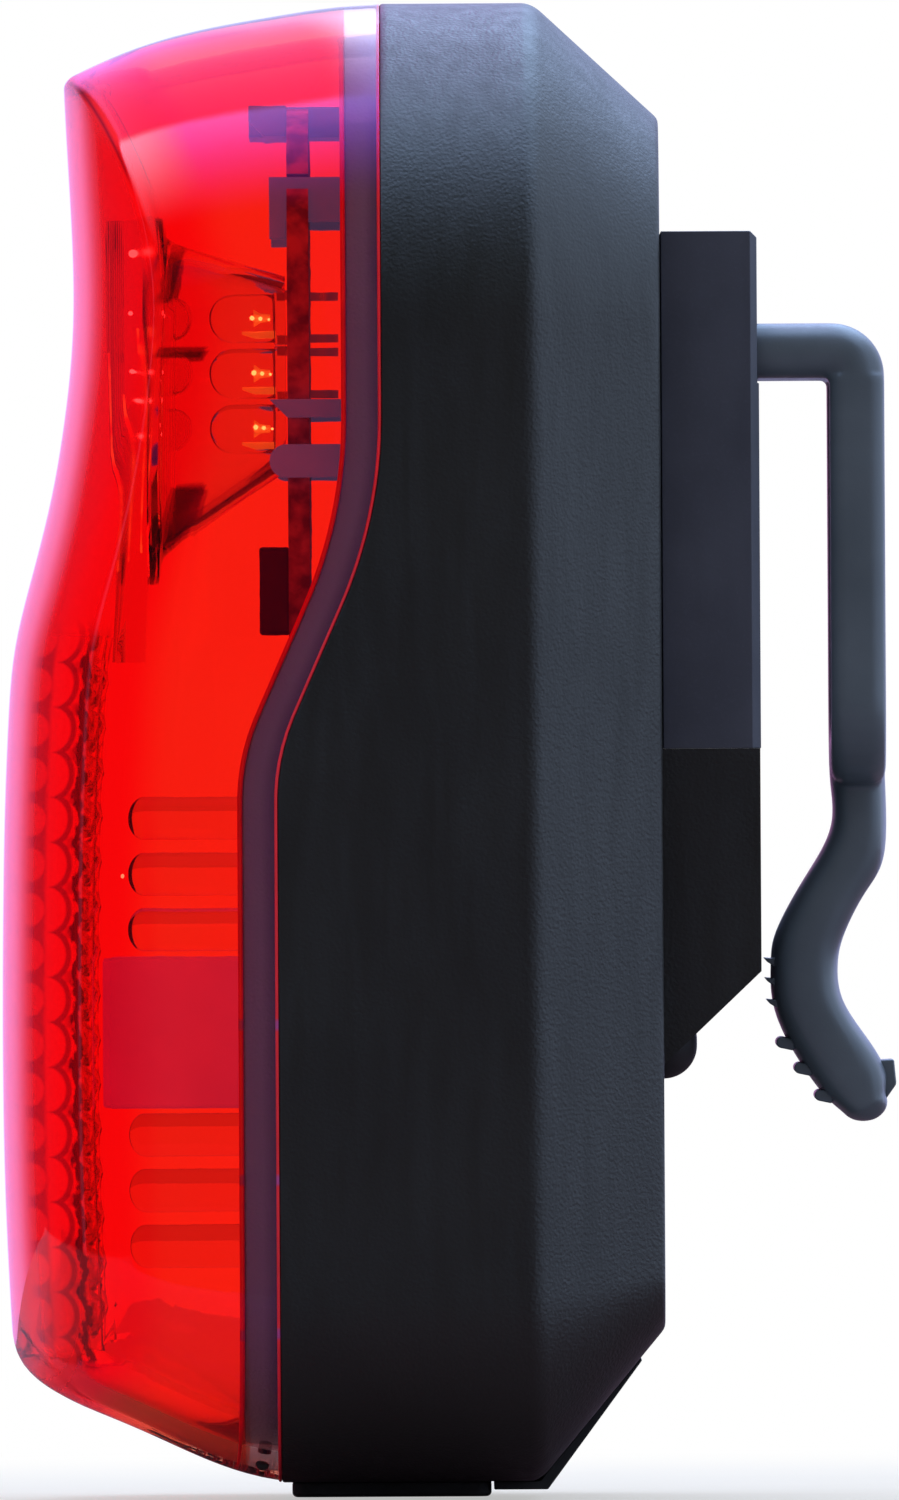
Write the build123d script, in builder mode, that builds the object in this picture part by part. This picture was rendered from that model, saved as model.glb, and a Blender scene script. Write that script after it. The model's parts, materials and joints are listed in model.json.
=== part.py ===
from build123d import *
import math
import os

os.makedirs("parts", exist_ok=True)

# A clip-on rear light. X runs from the lens (negative) back to the clip (positive), Y across, Z up.
# The origin is on the face that the strap lies against, at the seam between bracket and stop block.

# The body seen from the front
body_width = 42.0
head_height = 45.05
foot_depth = 44.0
head_round_share = 0.4524
foot_round_share = 0.2619

# The body seen from the side: depths run forward from its back face
block_depth = 5.95
bevel_depth = 7.6
bevel_head = 7.05
bevel_side_share = 1 / 7
bevel_foot_ratio = 23 / 15
joint_reach_head = 16.75
joint_reach_foot = 23.1
joint_bend_head = 14.1
joint_bend_foot = 0.35
joint_radius_head = 28.0
joint_radius_foot = 13.0
lens_reach = 39.9
lens_taper_head = 7.45
lens_taper_foot = 7.0
lens_taper_side = 2.1
crown_radius = 42.0

# Walls, gaps and the overrun of cuts
housing_wall = 2.0
lens_wall = 1.7
seat_gap = 0.1
slide_gap = 0.2
overrun = 1.0

# How the lens narrows: (share of its depth, share of the head, foot and side taper)
taper_shares = (
    (-0.05, 0.0, 0.0, 0.0),
    (0.12, 0.027, 0.0, 0.04),
    (0.27, 0.094, 0.015, 0.10),
    (0.445, 0.19, 0.17, 0.22),
    (0.62, 0.335, 0.43, 0.38),
    (0.834, 0.63, 0.73, 0.66),
    (1.03, 1.0, 1.0, 1.0),
)
# The lens front from the side: (share of the head height, or of the foot depth below zero, share of reach)
front_shares = (
    (-1.085, 0.970),
    (-0.83, 0.986),
    (-0.645, 0.996),
    (-0.46, 1.000),
    (-0.256, 0.999),
    (-0.082, 0.995),
    (0.04, 0.989),
    (0.14, 0.978),
    (0.235, 0.952),
    (0.34, 0.922),
    (0.44, 0.902),
    (0.56, 0.888),
    (0.68, 0.888),
    (0.84, 0.897),
    (1.06, 0.904),
)

# Depths of the main planes along X
bevel_side = body_width * bevel_side_share
bevel_foot = bevel_side * bevel_foot_ratio
x_back = -block_depth
x_bevel = x_back - bevel_depth
x_joint_head = x_back - joint_reach_head
x_joint_foot = x_back - joint_reach_foot
x_lens = x_back - lens_reach
x_inner_back = x_back - housing_wall
z_over = head_height + 2 * overrun
z_under = -(foot_depth + 2 * overrun)


def outline_at(x, side=0, head=0, foot=0):
    """The body's outline on an upright plane at depth x, drawn in by the given amounts."""
    half = body_width / 2 - side
    top = head_height - head
    bottom = foot - foot_depth
    round_top = body_width * head_round_share - (side + head) / 2
    round_bottom = body_width * foot_round_share - (side + foot) / 2
    with BuildSketch(Plane.YZ.offset(x)) as outline:
        with BuildLine():
            FilletPolyline(
                (half, bottom),
                (half, top),
                (-half, top),
                (-half, bottom),
                radius=[round_bottom, round_top, round_top, round_bottom],
                close=True,
            )
        make_face()
    return outline.sketch


def side_region(x_head, x_foot, x_end):
    """Side view: the region between the S-shaped line, moved to the given depths, and x_end."""
    with BuildSketch(Plane.XZ) as region:
        with BuildLine():
            line = FilletPolyline(
                (x_head, z_over),
                (x_head, joint_bend_head),
                (x_foot, -joint_bend_foot),
                (x_foot, z_under),
                radius=[joint_radius_head, joint_radius_foot],
            )
            Polyline(line @ 1, (x_end, z_under), (x_end, z_over), line @ 0)
        make_face()
    return region.sketch


def slab(x, y, z, mode=Mode.ADD):
    """A block between two planes on each axis, each pair given as (low, high)."""
    with Locations(((x[0] + x[1]) / 2, (y[0] + y[1]) / 2, (z[0] + z[1]) / 2)):
        Box(x[1] - x[0], y[1] - y[0], z[1] - z[0], mode=mode)


def twin_slabs(x, y, z, mode=Mode.ADD):
    """The same block on both sides of the centre plane."""
    slab(x, y, z, mode=mode)
    slab(x, (-y[1], -y[0]), z, mode=mode)


def export(builder, name):
    """Labels a finished piece and writes its file."""
    builder.part.label = name
    export_step(builder.part, f"parts/{name}.step")


def lens_body(inset):
    """The lens's outer shape drawn in by inset, with no inside and no joint cut."""
    depth = x_joint_head - x_lens
    sections = [
        outline_at(
            x_joint_head - depth * along,
            side=lens_taper_side * side + inset,
            head=lens_taper_head * head + inset,
            foot=lens_taper_foot * foot + inset,
        )
        for along, head, foot, side in taper_shares
    ]
    with BuildPart() as walls:
        loft(sections)
    half = body_width / 2 + overrun
    sagitta = crown_radius - math.sqrt(crown_radius**2 - half**2)
    slices = []
    for height, reach in front_shares:
        x_front = x_back - lens_reach * reach + inset
        z_slice = height * (head_height if height > 0 else foot_depth)
        with BuildSketch(Plane.XY.offset(z_slice)) as piece:
            with BuildLine():
                arc = ThreePointArc((x_front + sagitta, -half), (x_front, 0), (x_front + sagitta, half))
                Polyline(arc @ 1, (x_back, half), (x_back, -half), arc @ 0)
            make_face()
        slices.append(piece.sketch)
    with BuildPart() as front:
        loft(slices)
    with BuildPart() as body:
        add(walls.part)
        add(front.part, mode=Mode.INTERSECT)
    return body.part


# Lens: a red clear shell, open at the back along the S-shaped joint
lens_rim_gap = 0.02

with BuildPart() as lens:
    add(lens_body(0))
    add(lens_body(lens_wall), mode=Mode.SUBTRACT)
    extrude(
        side_region(x_joint_head - lens_rim_gap, x_joint_foot - lens_rim_gap, x_back),
        amount=body_width,
        both=True,
        mode=Mode.SUBTRACT,
    )

# Housing: the black rear shell with its lip, rail, stop block, bosses and posts
lip_reach = 2.1
lip_wall = 1.6
lip_taper_shares = (0.17, 0.16, 0.09)
lip_step_depth = 4.0
lip_inset = lens_wall + seat_gap
bore_inset = lip_inset + lip_wall

block_side_margin = 3.0
block_drop = 13.4
ramp_drop = 19.0
block_setback = 0.05
bracket_seat_gap = 0.08

button_height = 4.4
button_width = 10.0
button_drop = 17.7
button_gap = 0.15
button_pocket_gap = 0.35

rail_side_margin = 3.5
rail_undercut = 3.0
rail_neck_depth = 1.75
rail_head_depth = 2.1
rail_height = 27.0
rail_start = 0.6
catch_groove_width = 4.6
catch_groove_depth = 0.7

boss_radius = 2.0
boss_hole_radius = 0.8
boss_inset = 5.8
boss_margin_head = 17.05
boss_margin_foot = 16.0
boss_root = 4.0
carrier_setback = 1.2
carrier_thickness = 1.2
screw_shank_radius = 0.75
screw_shank_length = 5.0
screw_head_radius = 1.6
screw_head_height = 0.85
screw_slot_width = 0.4
screw_slot_depth = 0.4

socket_width = 9.0
socket_thickness = 3.2
socket_length = 7.3
socket_recess = 1.1
socket_gap = 0.25
board_ahead = 5.6
board_thickness = 1.3
board_inset = 6.3

switch_board_gap = 4.45
switch_board_thickness = 1.0
switch_board_width = 16.0
switch_board_above = 7.2
switch_board_below = 7.3
switch_post_radius = 1.4
switch_post_offset_y = 6.2
switch_post_above = 5.2
switch_post_below = 5.3
switch_post_hole_radius = 0.6

x_board_front = x_joint_head - board_ahead
x_board_rear = x_board_front + board_thickness
x_carrier_front = x_joint_head - carrier_setback
x_carrier_rear = x_carrier_front + carrier_thickness
x_switch_board_rear = x_inner_back - switch_board_gap
x_switch_board_front = x_switch_board_rear - switch_board_thickness
half_block = body_width / 2 - bevel_side - block_side_margin
head_half = half_block - rail_side_margin
neck_half = head_half - rail_undercut
x_rail_neck = x_back + rail_neck_depth
x_rail_head = x_rail_neck + rail_head_depth
z_button = -button_drop
z_socket_mouth = socket_recess - foot_depth
boss_places = [
    (side * (body_width / 2 - boss_inset), height)
    for height in (head_height - boss_margin_head, boss_margin_foot - foot_depth)
    for side in (-1, 1)
]
switch_post_places = [
    (side * switch_post_offset_y, height)
    for height in (z_button + switch_post_above, z_button - switch_post_below)
    for side in (-1, 1)
]

with BuildPart() as outer_blank:
    extrude(outline_at(x_lens), amount=x_bevel - x_lens)
    loft(
        [outline_at(x_bevel), outline_at(x_back, bevel_side, bevel_head, bevel_foot)],
        ruled=True,
    )

with BuildPart() as bore_blank:
    extrude(
        outline_at(x_lens, bore_inset, bore_inset, bore_inset),
        amount=x_bevel - lip_step_depth - x_lens,
    )
    extrude(
        outline_at(x_bevel - lip_step_depth, housing_wall, housing_wall, housing_wall),
        amount=lip_step_depth,
    )
    loft(
        [
            outline_at(x_bevel, housing_wall, housing_wall, housing_wall),
            outline_at(
                x_inner_back,
                housing_wall + bevel_side,
                housing_wall + bevel_head,
                housing_wall + bevel_foot,
            ),
        ],
        ruled=True,
    )

with BuildPart() as lip_blank:
    extrude(outline_at(x_joint_head, lip_inset, lip_inset, lip_inset), amount=x_bevel - x_joint_head)
    loft(
        [
            outline_at(x_joint_head, lip_inset, lip_inset, lip_inset),
            outline_at(
                x_joint_foot - lip_reach,
                lip_inset + lens_taper_side * lip_taper_shares[0],
                lip_inset + lens_taper_head * lip_taper_shares[1],
                lip_inset + lens_taper_foot * lip_taper_shares[2],
            ),
        ],
        ruled=True,
    )
    extrude(
        side_region(x_joint_head - lip_reach, x_joint_foot - lip_reach, x_lens - overrun),
        amount=body_width,
        both=True,
        mode=Mode.SUBTRACT,
    )

with BuildPart() as housing:
    add(outer_blank.part)
    extrude(
        side_region(x_joint_head, x_joint_foot, x_lens - overrun),
        amount=body_width,
        both=True,
        mode=Mode.SUBTRACT,
    )
    add(lip_blank.part)
    add(bore_blank.part, mode=Mode.SUBTRACT)
    # Stop block with its ramp, behind the lower half
    with BuildSketch(Plane.XZ):
        with BuildLine():
            Polyline(
                (x_back - housing_wall / 2, -bracket_seat_gap),
                (-block_setback, -bracket_seat_gap),
                (-block_setback, -block_drop),
                (x_back, -ramp_drop),
                (x_back - housing_wall / 2, -ramp_drop),
                close=True,
            )
        make_face()
    extrude(amount=half_block, both=True)
    # Rail that the bracket slides on
    rail_span = (rail_start, rail_start + rail_height)
    slab((x_back - housing_wall / 2, x_rail_neck), (-neck_half, neck_half), rail_span)
    slab((x_rail_neck, x_rail_head), (-head_half, head_half), rail_span)
    groove_half = catch_groove_width / 2
    slab(
        (x_rail_head - catch_groove_depth, x_rail_head + overrun),
        (-groove_half, groove_half),
        (rail_start - overrun, rail_start + rail_height + overrun),
        mode=Mode.SUBTRACT,
    )
    # Bosses for the carrier's screws
    with BuildSketch(Plane.YZ.offset(x_back - boss_root)):
        with Locations(*boss_places):
            Circle(boss_radius)
    extrude(amount=x_carrier_rear - x_back + boss_root)
    with BuildSketch(Plane.YZ.offset(x_carrier_rear)):
        with Locations(*boss_places):
            Circle(boss_hole_radius)
    extrude(amount=screw_shank_length, mode=Mode.SUBTRACT)
    # Posts for the switch board
    with BuildSketch(Plane.YZ.offset(x_switch_board_rear)):
        with Locations(*switch_post_places):
            Circle(switch_post_radius)
    extrude(amount=switch_board_gap + housing_wall / 2)
    with BuildSketch(Plane.YZ.offset(x_switch_board_rear)):
        with Locations(*switch_post_places):
            Circle(switch_post_hole_radius)
    extrude(amount=switch_board_gap - seat_gap, mode=Mode.SUBTRACT)
    # Hole for the button through the back wall, widened to a pocket in the ramp's toe
    with BuildSketch(Plane.YZ.offset(x_inner_back - overrun)):
        with Locations((0, z_button)):
            SlotOverall(button_width + 2 * button_gap, button_height + 2 * button_gap)
    extrude(amount=housing_wall + 2 * overrun, mode=Mode.SUBTRACT)
    with BuildSketch(Plane.YZ.offset(x_back)):
        with Locations((0, z_button)):
            SlotOverall(
                button_width + 2 * button_pocket_gap, button_height + 2 * button_pocket_gap
            )
    extrude(amount=block_depth + overrun, mode=Mode.SUBTRACT)
    # Opening for the charging socket through the foot
    socket_half = socket_width / 2 + socket_gap
    slab(
        (x_board_rear - socket_gap, x_board_rear + socket_thickness + socket_gap),
        (-socket_half, socket_half),
        (z_under, z_socket_mouth + socket_length),
        mode=Mode.SUBTRACT,
    )

# Reflex reflector: a crowned red plate behind the lens, with rows of six-sided pins
reflex_setback = 2.95
reflex_thickness = 0.9
reflex_top = 7.2
reflex_foot_margin = 7.6
reflex_side_margin = 7.3
pin_pitch = 2.7
pin_height = 1.3
pin_gap = 0.12
pin_taper = 19
x_reflex = x_lens + reflex_setback
reflex_low = reflex_foot_margin - foot_depth
reflex_half = body_width / 2 - reflex_side_margin
column_pitch = pin_pitch * math.sqrt(3) / 2
pin_rows = int((reflex_top - reflex_low) / pin_pitch - 1 / 2)
pin_columns = int(2 * reflex_half / column_pitch)


def crown_at(y):
    """How far the crowned front falls back at distance y from the centre plane."""
    return crown_radius - math.sqrt(crown_radius**2 - y**2)


with BuildPart() as reflex_reflector:
    with BuildSketch(Plane.XY.offset(reflex_low)):
        with BuildLine():
            fall = crown_at(reflex_half)
            front_arc = ThreePointArc(
                (x_reflex + fall, -reflex_half), (x_reflex, 0), (x_reflex + fall, reflex_half)
            )
            x_rear = x_reflex + reflex_thickness
            rear_arc = ThreePointArc(
                (x_rear + fall, -reflex_half), (x_rear, 0), (x_rear + fall, reflex_half)
            )
            Line(front_arc @ 0, rear_arc @ 0)
            Line(front_arc @ 1, rear_arc @ 1)
        make_face()
    extrude(amount=reflex_top - reflex_low)
    z_pins = (reflex_top + reflex_low) / 2
    for column in range(pin_columns):
        y_pin = (column - (pin_columns - 1) / 2) * column_pitch
        stagger = pin_pitch / 4 * (1 if column % 2 else -1)
        x_root = x_reflex + reflex_thickness / 2 + crown_at(y_pin)
        with BuildSketch(Plane.YZ.offset(x_root)):
            for row in range(pin_rows):
                z_pin = z_pins + (row - (pin_rows - 1) / 2) * pin_pitch + stagger
                with Locations((y_pin, z_pin)):
                    RegularPolygon((pin_pitch - pin_gap) / 2, 6, major_radius=False)
        extrude(amount=reflex_thickness / 2 + pin_height, taper=pin_taper)

# Circuit board: carries the lamps, the light guides and the charging socket
hook_width = 6.0
hook_slot_gap = 0.2
hook_margin = 8.05
hook_thickness = 1.8
hook_nose = 2.3
hook_nose_width = 9.2
hook_chamfer = 0.9
snap_inset = 10.0
snap_width = 2.0
snap_margin = 13.35
snap_height = 2.6
snap_nose = 1.05
snap_nose_drop = 1.0
hook_low = head_height - hook_margin
hook_high = hook_low + hook_thickness
snap_low = head_height - snap_margin
snap_high = snap_low + snap_height
snap_offset_y = body_width / 2 - snap_inset
led_pitch = 3.36
led_margin = 22.25
led_centre = head_height - led_margin
led_lead_offset = 1.27
led_lead_size = 0.5
led_lead_hole_radius = 0.42
led_lead_tail = 1.7
led_heights = [led_centre + led_pitch * step for step in (1, 0, -1)]
lead_heights = [z + led_lead_offset * side for z in led_heights for side in (-1, 1)]

with BuildPart() as circuit_board:
    extrude(
        outline_at(x_board_front, board_inset, board_inset, board_inset),
        amount=board_thickness,
    )
    board_cut = (x_board_front - overrun, x_board_rear + overrun)
    hook_half = hook_width / 2 + hook_slot_gap
    slab(board_cut, (-hook_half, hook_half), (hook_low - hook_slot_gap, z_over), mode=Mode.SUBTRACT)
    twin_slabs(
        board_cut,
        (
            snap_offset_y - snap_width / 2 - hook_slot_gap,
            snap_offset_y + snap_width / 2 + hook_slot_gap,
        ),
        (snap_low - hook_slot_gap, snap_high + hook_slot_gap),
        mode=Mode.SUBTRACT,
    )
    with BuildSketch(Plane.YZ.offset(x_board_front - overrun)):
        with Locations(*[(0, z) for z in lead_heights]):
            Circle(led_lead_hole_radius)
    extrude(amount=board_thickness + 2 * overrun, mode=Mode.SUBTRACT)

# Board carrier: the black inner plate with the hooks and fins that hold the board
carrier_gap = 0.2
carrier_foot_margin = 11.0
guide_inner_gap = 0.15
guide_width = 1.0
fin_drop = 2.8
fin_thickness = 1.1
rib_drop = 6.4
rib_thickness = 2.0
guide_nose = 1.1
link_slot_width = 8.4
link_slot_low = -26.0
link_slot_high = -20.0
carrier_screw_gap = 0.1
carrier_inset = bore_inset + carrier_gap
guide_near = body_width / 2 - board_inset + guide_inner_gap
guide_span = (guide_near, guide_near + guide_width)
x_guide = x_board_front - guide_nose
fin_low = led_centre - fin_drop
fin_high = fin_low + fin_thickness
rib_low = led_centre - rib_drop
rib_high = rib_low + rib_thickness

with BuildPart() as board_carrier:
    extrude(
        outline_at(x_carrier_front, carrier_inset, carrier_inset, carrier_inset),
        amount=carrier_thickness,
    )
    slab(
        (x_carrier_front - overrun, x_carrier_rear + overrun),
        (-body_width, body_width),
        (z_under, carrier_foot_margin - foot_depth),
        mode=Mode.SUBTRACT,
    )
    link_half = link_slot_width / 2
    slab(
        (x_carrier_front - overrun, x_carrier_rear + overrun),
        (-link_half, link_half),
        (link_slot_low, link_slot_high),
        mode=Mode.SUBTRACT,
    )
    with BuildSketch(Plane.YZ.offset(x_carrier_front - overrun)):
        with Locations(*boss_places):
            Circle(screw_shank_radius + carrier_screw_gap)
    extrude(amount=carrier_thickness + 2 * overrun, mode=Mode.SUBTRACT)
    # Top hook: a bar through the board's notch, with a wide nose in front of it
    hook_half = hook_width / 2
    nose_half = hook_nose_width / 2
    slab((x_board_front - hook_nose, x_carrier_front), (-hook_half, hook_half), (hook_low, hook_high))
    with BuildSketch(Plane.XZ):
        with BuildLine():
            Polyline(
                (x_board_front - seat_gap / 2, hook_low),
                (x_board_front - seat_gap / 2, hook_high),
                (x_board_front - hook_nose, hook_high),
                (x_board_front - hook_nose, hook_low + hook_chamfer),
                (x_board_front - hook_nose + hook_chamfer, hook_low),
                close=True,
            )
        make_face()
    extrude(amount=nose_half, both=True)
    # Two snap hooks through slots in the board
    snap_span = (snap_offset_y - snap_width / 2, snap_offset_y + snap_width / 2)
    twin_slabs((x_board_front - snap_nose, x_carrier_front), snap_span, (snap_low, snap_high))
    twin_slabs(
        (x_board_front - snap_nose, x_board_front - seat_gap / 2),
        snap_span,
        (snap_low - snap_nose_drop, snap_high),
    )
    # Guides beside the board: a tapered fin and a round-nosed rib on each side
    for side in (-1, 1):
        middle = side * (guide_span[0] + guide_span[1]) / 2
        with BuildSketch(Plane.XZ.offset(-middle)):
            with BuildLine():
                Polyline(
                    (x_carrier_front, fin_low),
                    (x_carrier_front, fin_high),
                    (x_guide, fin_high),
                    (x_board_front, fin_low),
                    close=True,
                )
            make_face()
            rib_radius = (rib_high - rib_low) / 2
            with Locations(((x_guide + rib_radius + x_carrier_front) / 2, rib_low + rib_radius)):
                Rectangle(x_carrier_front - x_guide - rib_radius, 2 * rib_radius)
            with Locations((x_guide + rib_radius, rib_low + rib_radius)):
                Circle(rib_radius)
        extrude(amount=guide_width / 2, both=True)

# Four screws that hold the carrier to the housing's bosses
with BuildPart() as carrier_screws:
    with BuildSketch(Plane.YZ.offset(x_carrier_front)):
        with Locations(*boss_places):
            Circle(screw_shank_radius)
    extrude(amount=screw_shank_length)
    with BuildSketch(Plane.YZ.offset(x_carrier_front)):
        with Locations(*boss_places):
            Circle(screw_head_radius)
    extrude(amount=-screw_head_height)
    with BuildSketch(Plane.YZ.offset(x_carrier_front - screw_head_height)):
        with Locations(*boss_places):
            Rectangle(2 * screw_head_radius + overrun, screw_slot_width)
            Rectangle(screw_slot_width, 2 * screw_head_radius + overrun)
    extrude(amount=screw_slot_depth, mode=Mode.SUBTRACT)

# Reflector bowl round the three upper lamps
bowl_depth = 8.6
bowl_wall = 0.8
bowl_rim_width = 23.0
bowl_rim_height = 20.2
bowl_rim_drop = 1.7
bowl_base_width = 7.4
bowl_base_height = 11.6
bowl_corner_share = 0.42
bowl_rim_lip = 0.9
x_bowl_rim = x_board_front - bowl_depth
bowl_rim_centre = led_centre - bowl_rim_drop


def bowl_section(x, centre, width, height):
    """A round-cornered opening of the bowl on an upright plane."""
    with BuildSketch(Plane.YZ.offset(x)) as section:
        with Locations((0, centre)):
            RectangleRounded(width, height, width * bowl_corner_share)
    return section.sketch


with BuildPart() as reflector_bowl:
    loft(
        [
            bowl_section(x_board_front, led_centre, bowl_base_width, bowl_base_height),
            bowl_section(x_bowl_rim, bowl_rim_centre, bowl_rim_width, bowl_rim_height),
        ]
    )
    extrude(
        bowl_section(
            x_bowl_rim,
            bowl_rim_centre,
            bowl_rim_width + 2 * bowl_rim_lip,
            bowl_rim_height + 2 * bowl_rim_lip,
        ),
        amount=bowl_wall,
    )
    loft(
        [
            bowl_section(
                x_board_front,
                led_centre,
                bowl_base_width - 2 * bowl_wall,
                bowl_base_height - 2 * bowl_wall,
            ),
            bowl_section(
                x_bowl_rim,
                bowl_rim_centre,
                bowl_rim_width - 2 * bowl_wall,
                bowl_rim_height - 2 * bowl_wall,
            ),
        ],
        mode=Mode.SUBTRACT,
    )

# Window optic: a clear fluted tile on the bowl's rim, with a short rod towards each upper lamp
optic_thickness = 2.0
optic_width = 14.0
optic_below = 17.4
optic_above = 9.2
flute_count = 5
flute_pitch = 2.4
flute_depth = 0.35
optic_rod_radius = 1.3
optic_rod_reach = 2.6
x_optic_front = x_bowl_rim - optic_thickness
optic_low = led_centre - optic_below
optic_high = led_centre + optic_above

with BuildPart() as window_optic:
    slab((x_optic_front, x_bowl_rim), (-optic_width / 2, optic_width / 2), (optic_low, optic_high))
    with BuildSketch(Plane.XY.offset(optic_low - overrun)):
        for number in range(flute_count):
            with Locations((x_optic_front, (number - (flute_count - 1) / 2) * flute_pitch)):
                Circle(flute_depth)
    extrude(amount=optic_high - optic_low + 2 * overrun, mode=Mode.SUBTRACT)
    x_rod_end = x_bowl_rim + optic_rod_reach
    for z in led_heights:
        with BuildSketch(Plane.XZ):
            with BuildLine():
                Polyline(
                    (x_rod_end, z),
                    (x_bowl_rim - optic_thickness / 2, z),
                    (x_bowl_rim - optic_thickness / 2, z + optic_rod_radius),
                    (x_rod_end - optic_rod_radius, z + optic_rod_radius),
                )
                RadiusArc(
                    (x_rod_end - optic_rod_radius, z + optic_rod_radius),
                    (x_rod_end, z),
                    optic_rod_radius,
                )
            make_face()
        revolve(axis=Axis((0, 0, z), (1, 0, 0)))

# The three upper lamps: clear domes on the board, with leads clipped short behind it
led_radius = 1.5
led_flange_radius = 1.65
led_flange_height = 1.0
led_body_height = 2.4
lead_entry = 0.8


def lamp(z):
    """One domed lamp standing on the board at height z."""
    with BuildPart() as piece:
        with BuildSketch(Plane.XZ) as half_profile:
            with BuildLine():
                x_dome = x_board_front - led_flange_height - led_body_height
                Polyline(
                    (x_dome - led_radius, z),
                    (x_board_front, z),
                    (x_board_front, z + led_flange_radius),
                    (x_board_front - led_flange_height, z + led_flange_radius),
                    (x_board_front - led_flange_height, z + led_radius),
                    (x_dome, z + led_radius),
                )
                RadiusArc((x_dome, z + led_radius), (x_dome - led_radius, z), -led_radius)
            make_face()
        revolve(axis=Axis((0, 0, z), (1, 0, 0)))
        for side in (-1, 1):
            lead_half = led_lead_size / 2
            z_lead = z + side * led_lead_offset
            slab(
                (x_board_front - lead_entry, x_board_front + overrun),
                (-lead_half, lead_half),
                (z_lead - lead_half, z_lead + lead_half),
                mode=Mode.SUBTRACT,
            )
    return piece


led_names = ("led_top", "led_middle", "led_bottom")
leds = [lamp(z) for z in led_heights]

with BuildPart() as led_leads:
    lead_half = led_lead_size / 2
    for z_lead in lead_heights:
        slab(
            (x_board_front - lead_entry, x_board_rear + led_lead_tail),
            (-lead_half, lead_half),
            (z_lead - lead_half, z_lead + lead_half),
        )

# Light guides: two clear mouldings of three domed rods, each over three small lamps
guide_rod_radius = 1.3
guide_rod_reach = 9.9
guide_base_width = 5.2
guide_base_depth = 2.2
guide_base_margin = 1.4
chip_size = 1.5
chip_height = 0.7
chip_gap = 0.25
guide_shares = {"upper": 0.16818, "lower": 0.60227}
guide_reach = led_pitch + guide_base_margin
guide_centres = {name: -share * foot_depth for name, share in guide_shares.items()}


def light_guide(centre):
    """Three domed rods on one foot, with a pocket over each small lamp."""
    base_half = guide_base_width / 2
    with BuildPart() as piece:
        slab(
            (x_board_front - guide_base_depth, x_board_front),
            (-base_half, base_half),
            (centre - guide_reach, centre + guide_reach),
        )
        for step in (-1, 0, 1):
            z = centre + step * led_pitch
            x_tip = x_board_front - guide_rod_reach
            with BuildSketch(Plane.XZ):
                with BuildLine():
                    Polyline(
                        (x_tip, z),
                        (x_board_front - guide_base_depth / 2, z),
                        (x_board_front - guide_base_depth / 2, z + guide_rod_radius),
                        (x_tip + guide_rod_radius, z + guide_rod_radius),
                    )
                    RadiusArc(
                        (x_tip + guide_rod_radius, z + guide_rod_radius),
                        (x_tip, z),
                        -guide_rod_radius,
                    )
                make_face()
            revolve(axis=Axis((0, 0, z), (1, 0, 0)))
            pocket = chip_size / 2 + chip_gap
            slab(
                (x_board_front - chip_height - chip_gap, x_board_front + overrun),
                (-pocket, pocket),
                (z - pocket, z + pocket),
                mode=Mode.SUBTRACT,
            )
    return piece


def chip_lamps(centre):
    """Three small flat lamps soldered to the board under one light guide."""
    half = chip_size / 2
    with BuildPart() as piece:
        for step in (-1, 0, 1):
            z = centre + step * led_pitch
            slab((x_board_front - chip_height, x_board_front), (-half, half), (z - half, z + half))
    return piece


light_guides = {name: light_guide(z) for name, z in guide_centres.items()}
chip_groups = {name: chip_lamps(z) for name, z in guide_centres.items()}

# Centre baffle: an open box on the board that keeps the two lower light groups apart
baffle_reach = 11.3
baffle_width = 12.0
baffle_gap = 0.24
baffle_wall = 1.0
baffle_low = guide_centres["lower"] + guide_reach + baffle_gap
baffle_high = guide_centres["upper"] - guide_reach - baffle_gap

with BuildPart() as centre_baffle:
    baffle_half = baffle_width / 2
    slab(
        (x_board_front - baffle_reach, x_board_front),
        (-baffle_half, baffle_half),
        (baffle_low, baffle_high),
    )
    slab(
        (x_board_front - baffle_reach + baffle_wall, x_board_front + overrun),
        (baffle_wall - baffle_half, baffle_half - baffle_wall),
        (baffle_low + baffle_wall, baffle_high - baffle_wall),
        mode=Mode.SUBTRACT,
    )

# Parts on the board: a coil block in front, a driver chip and two storage capacitors behind
coil_height = 1.8
coil_width = 6.0
coil_drop = 10.5
coil_length = 5.3
coil_edge = 0.4
driver_size = 5.0
driver_height = 1.1
driver_drop = 17.8
capacitor_length = 3.2
capacitor_width = 1.8
capacitor_height = 1.4
capacitor_offset_y = 7.0
capacitor_centre = -2.0
coil_high = led_centre - coil_drop
coil_low = coil_high - coil_length
driver_centre = led_centre - driver_drop

with BuildPart() as power_coil:
    coil_half = coil_width / 2
    slab(
        (x_board_front - coil_height, x_board_front),
        (-coil_half, coil_half),
        (coil_low, coil_high),
    )
    fillet(power_coil.edges().filter_by(Axis.X), coil_edge)

with BuildPart() as driver_chip:
    driver_half = driver_size / 2
    slab(
        (x_board_rear, x_board_rear + driver_height),
        (-driver_half, driver_half),
        (driver_centre - driver_half, driver_centre + driver_half),
    )

with BuildPart() as capacitors:
    twin_slabs(
        (x_board_rear, x_board_rear + capacitor_height),
        (capacitor_offset_y - capacitor_width / 2, capacitor_offset_y + capacitor_width / 2),
        (capacitor_centre - capacitor_length / 2, capacitor_centre + capacitor_length / 2),
    )

# Charging socket: a metal shell under the board's lower edge, with a plastic tongue
socket_shell = 0.3
socket_tongue_width = 6.6
socket_tongue_thickness = 0.7
socket_tongue_share = 0.72
socket_corner_share = 0.35
x_socket = x_board_rear + socket_thickness / 2

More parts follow.
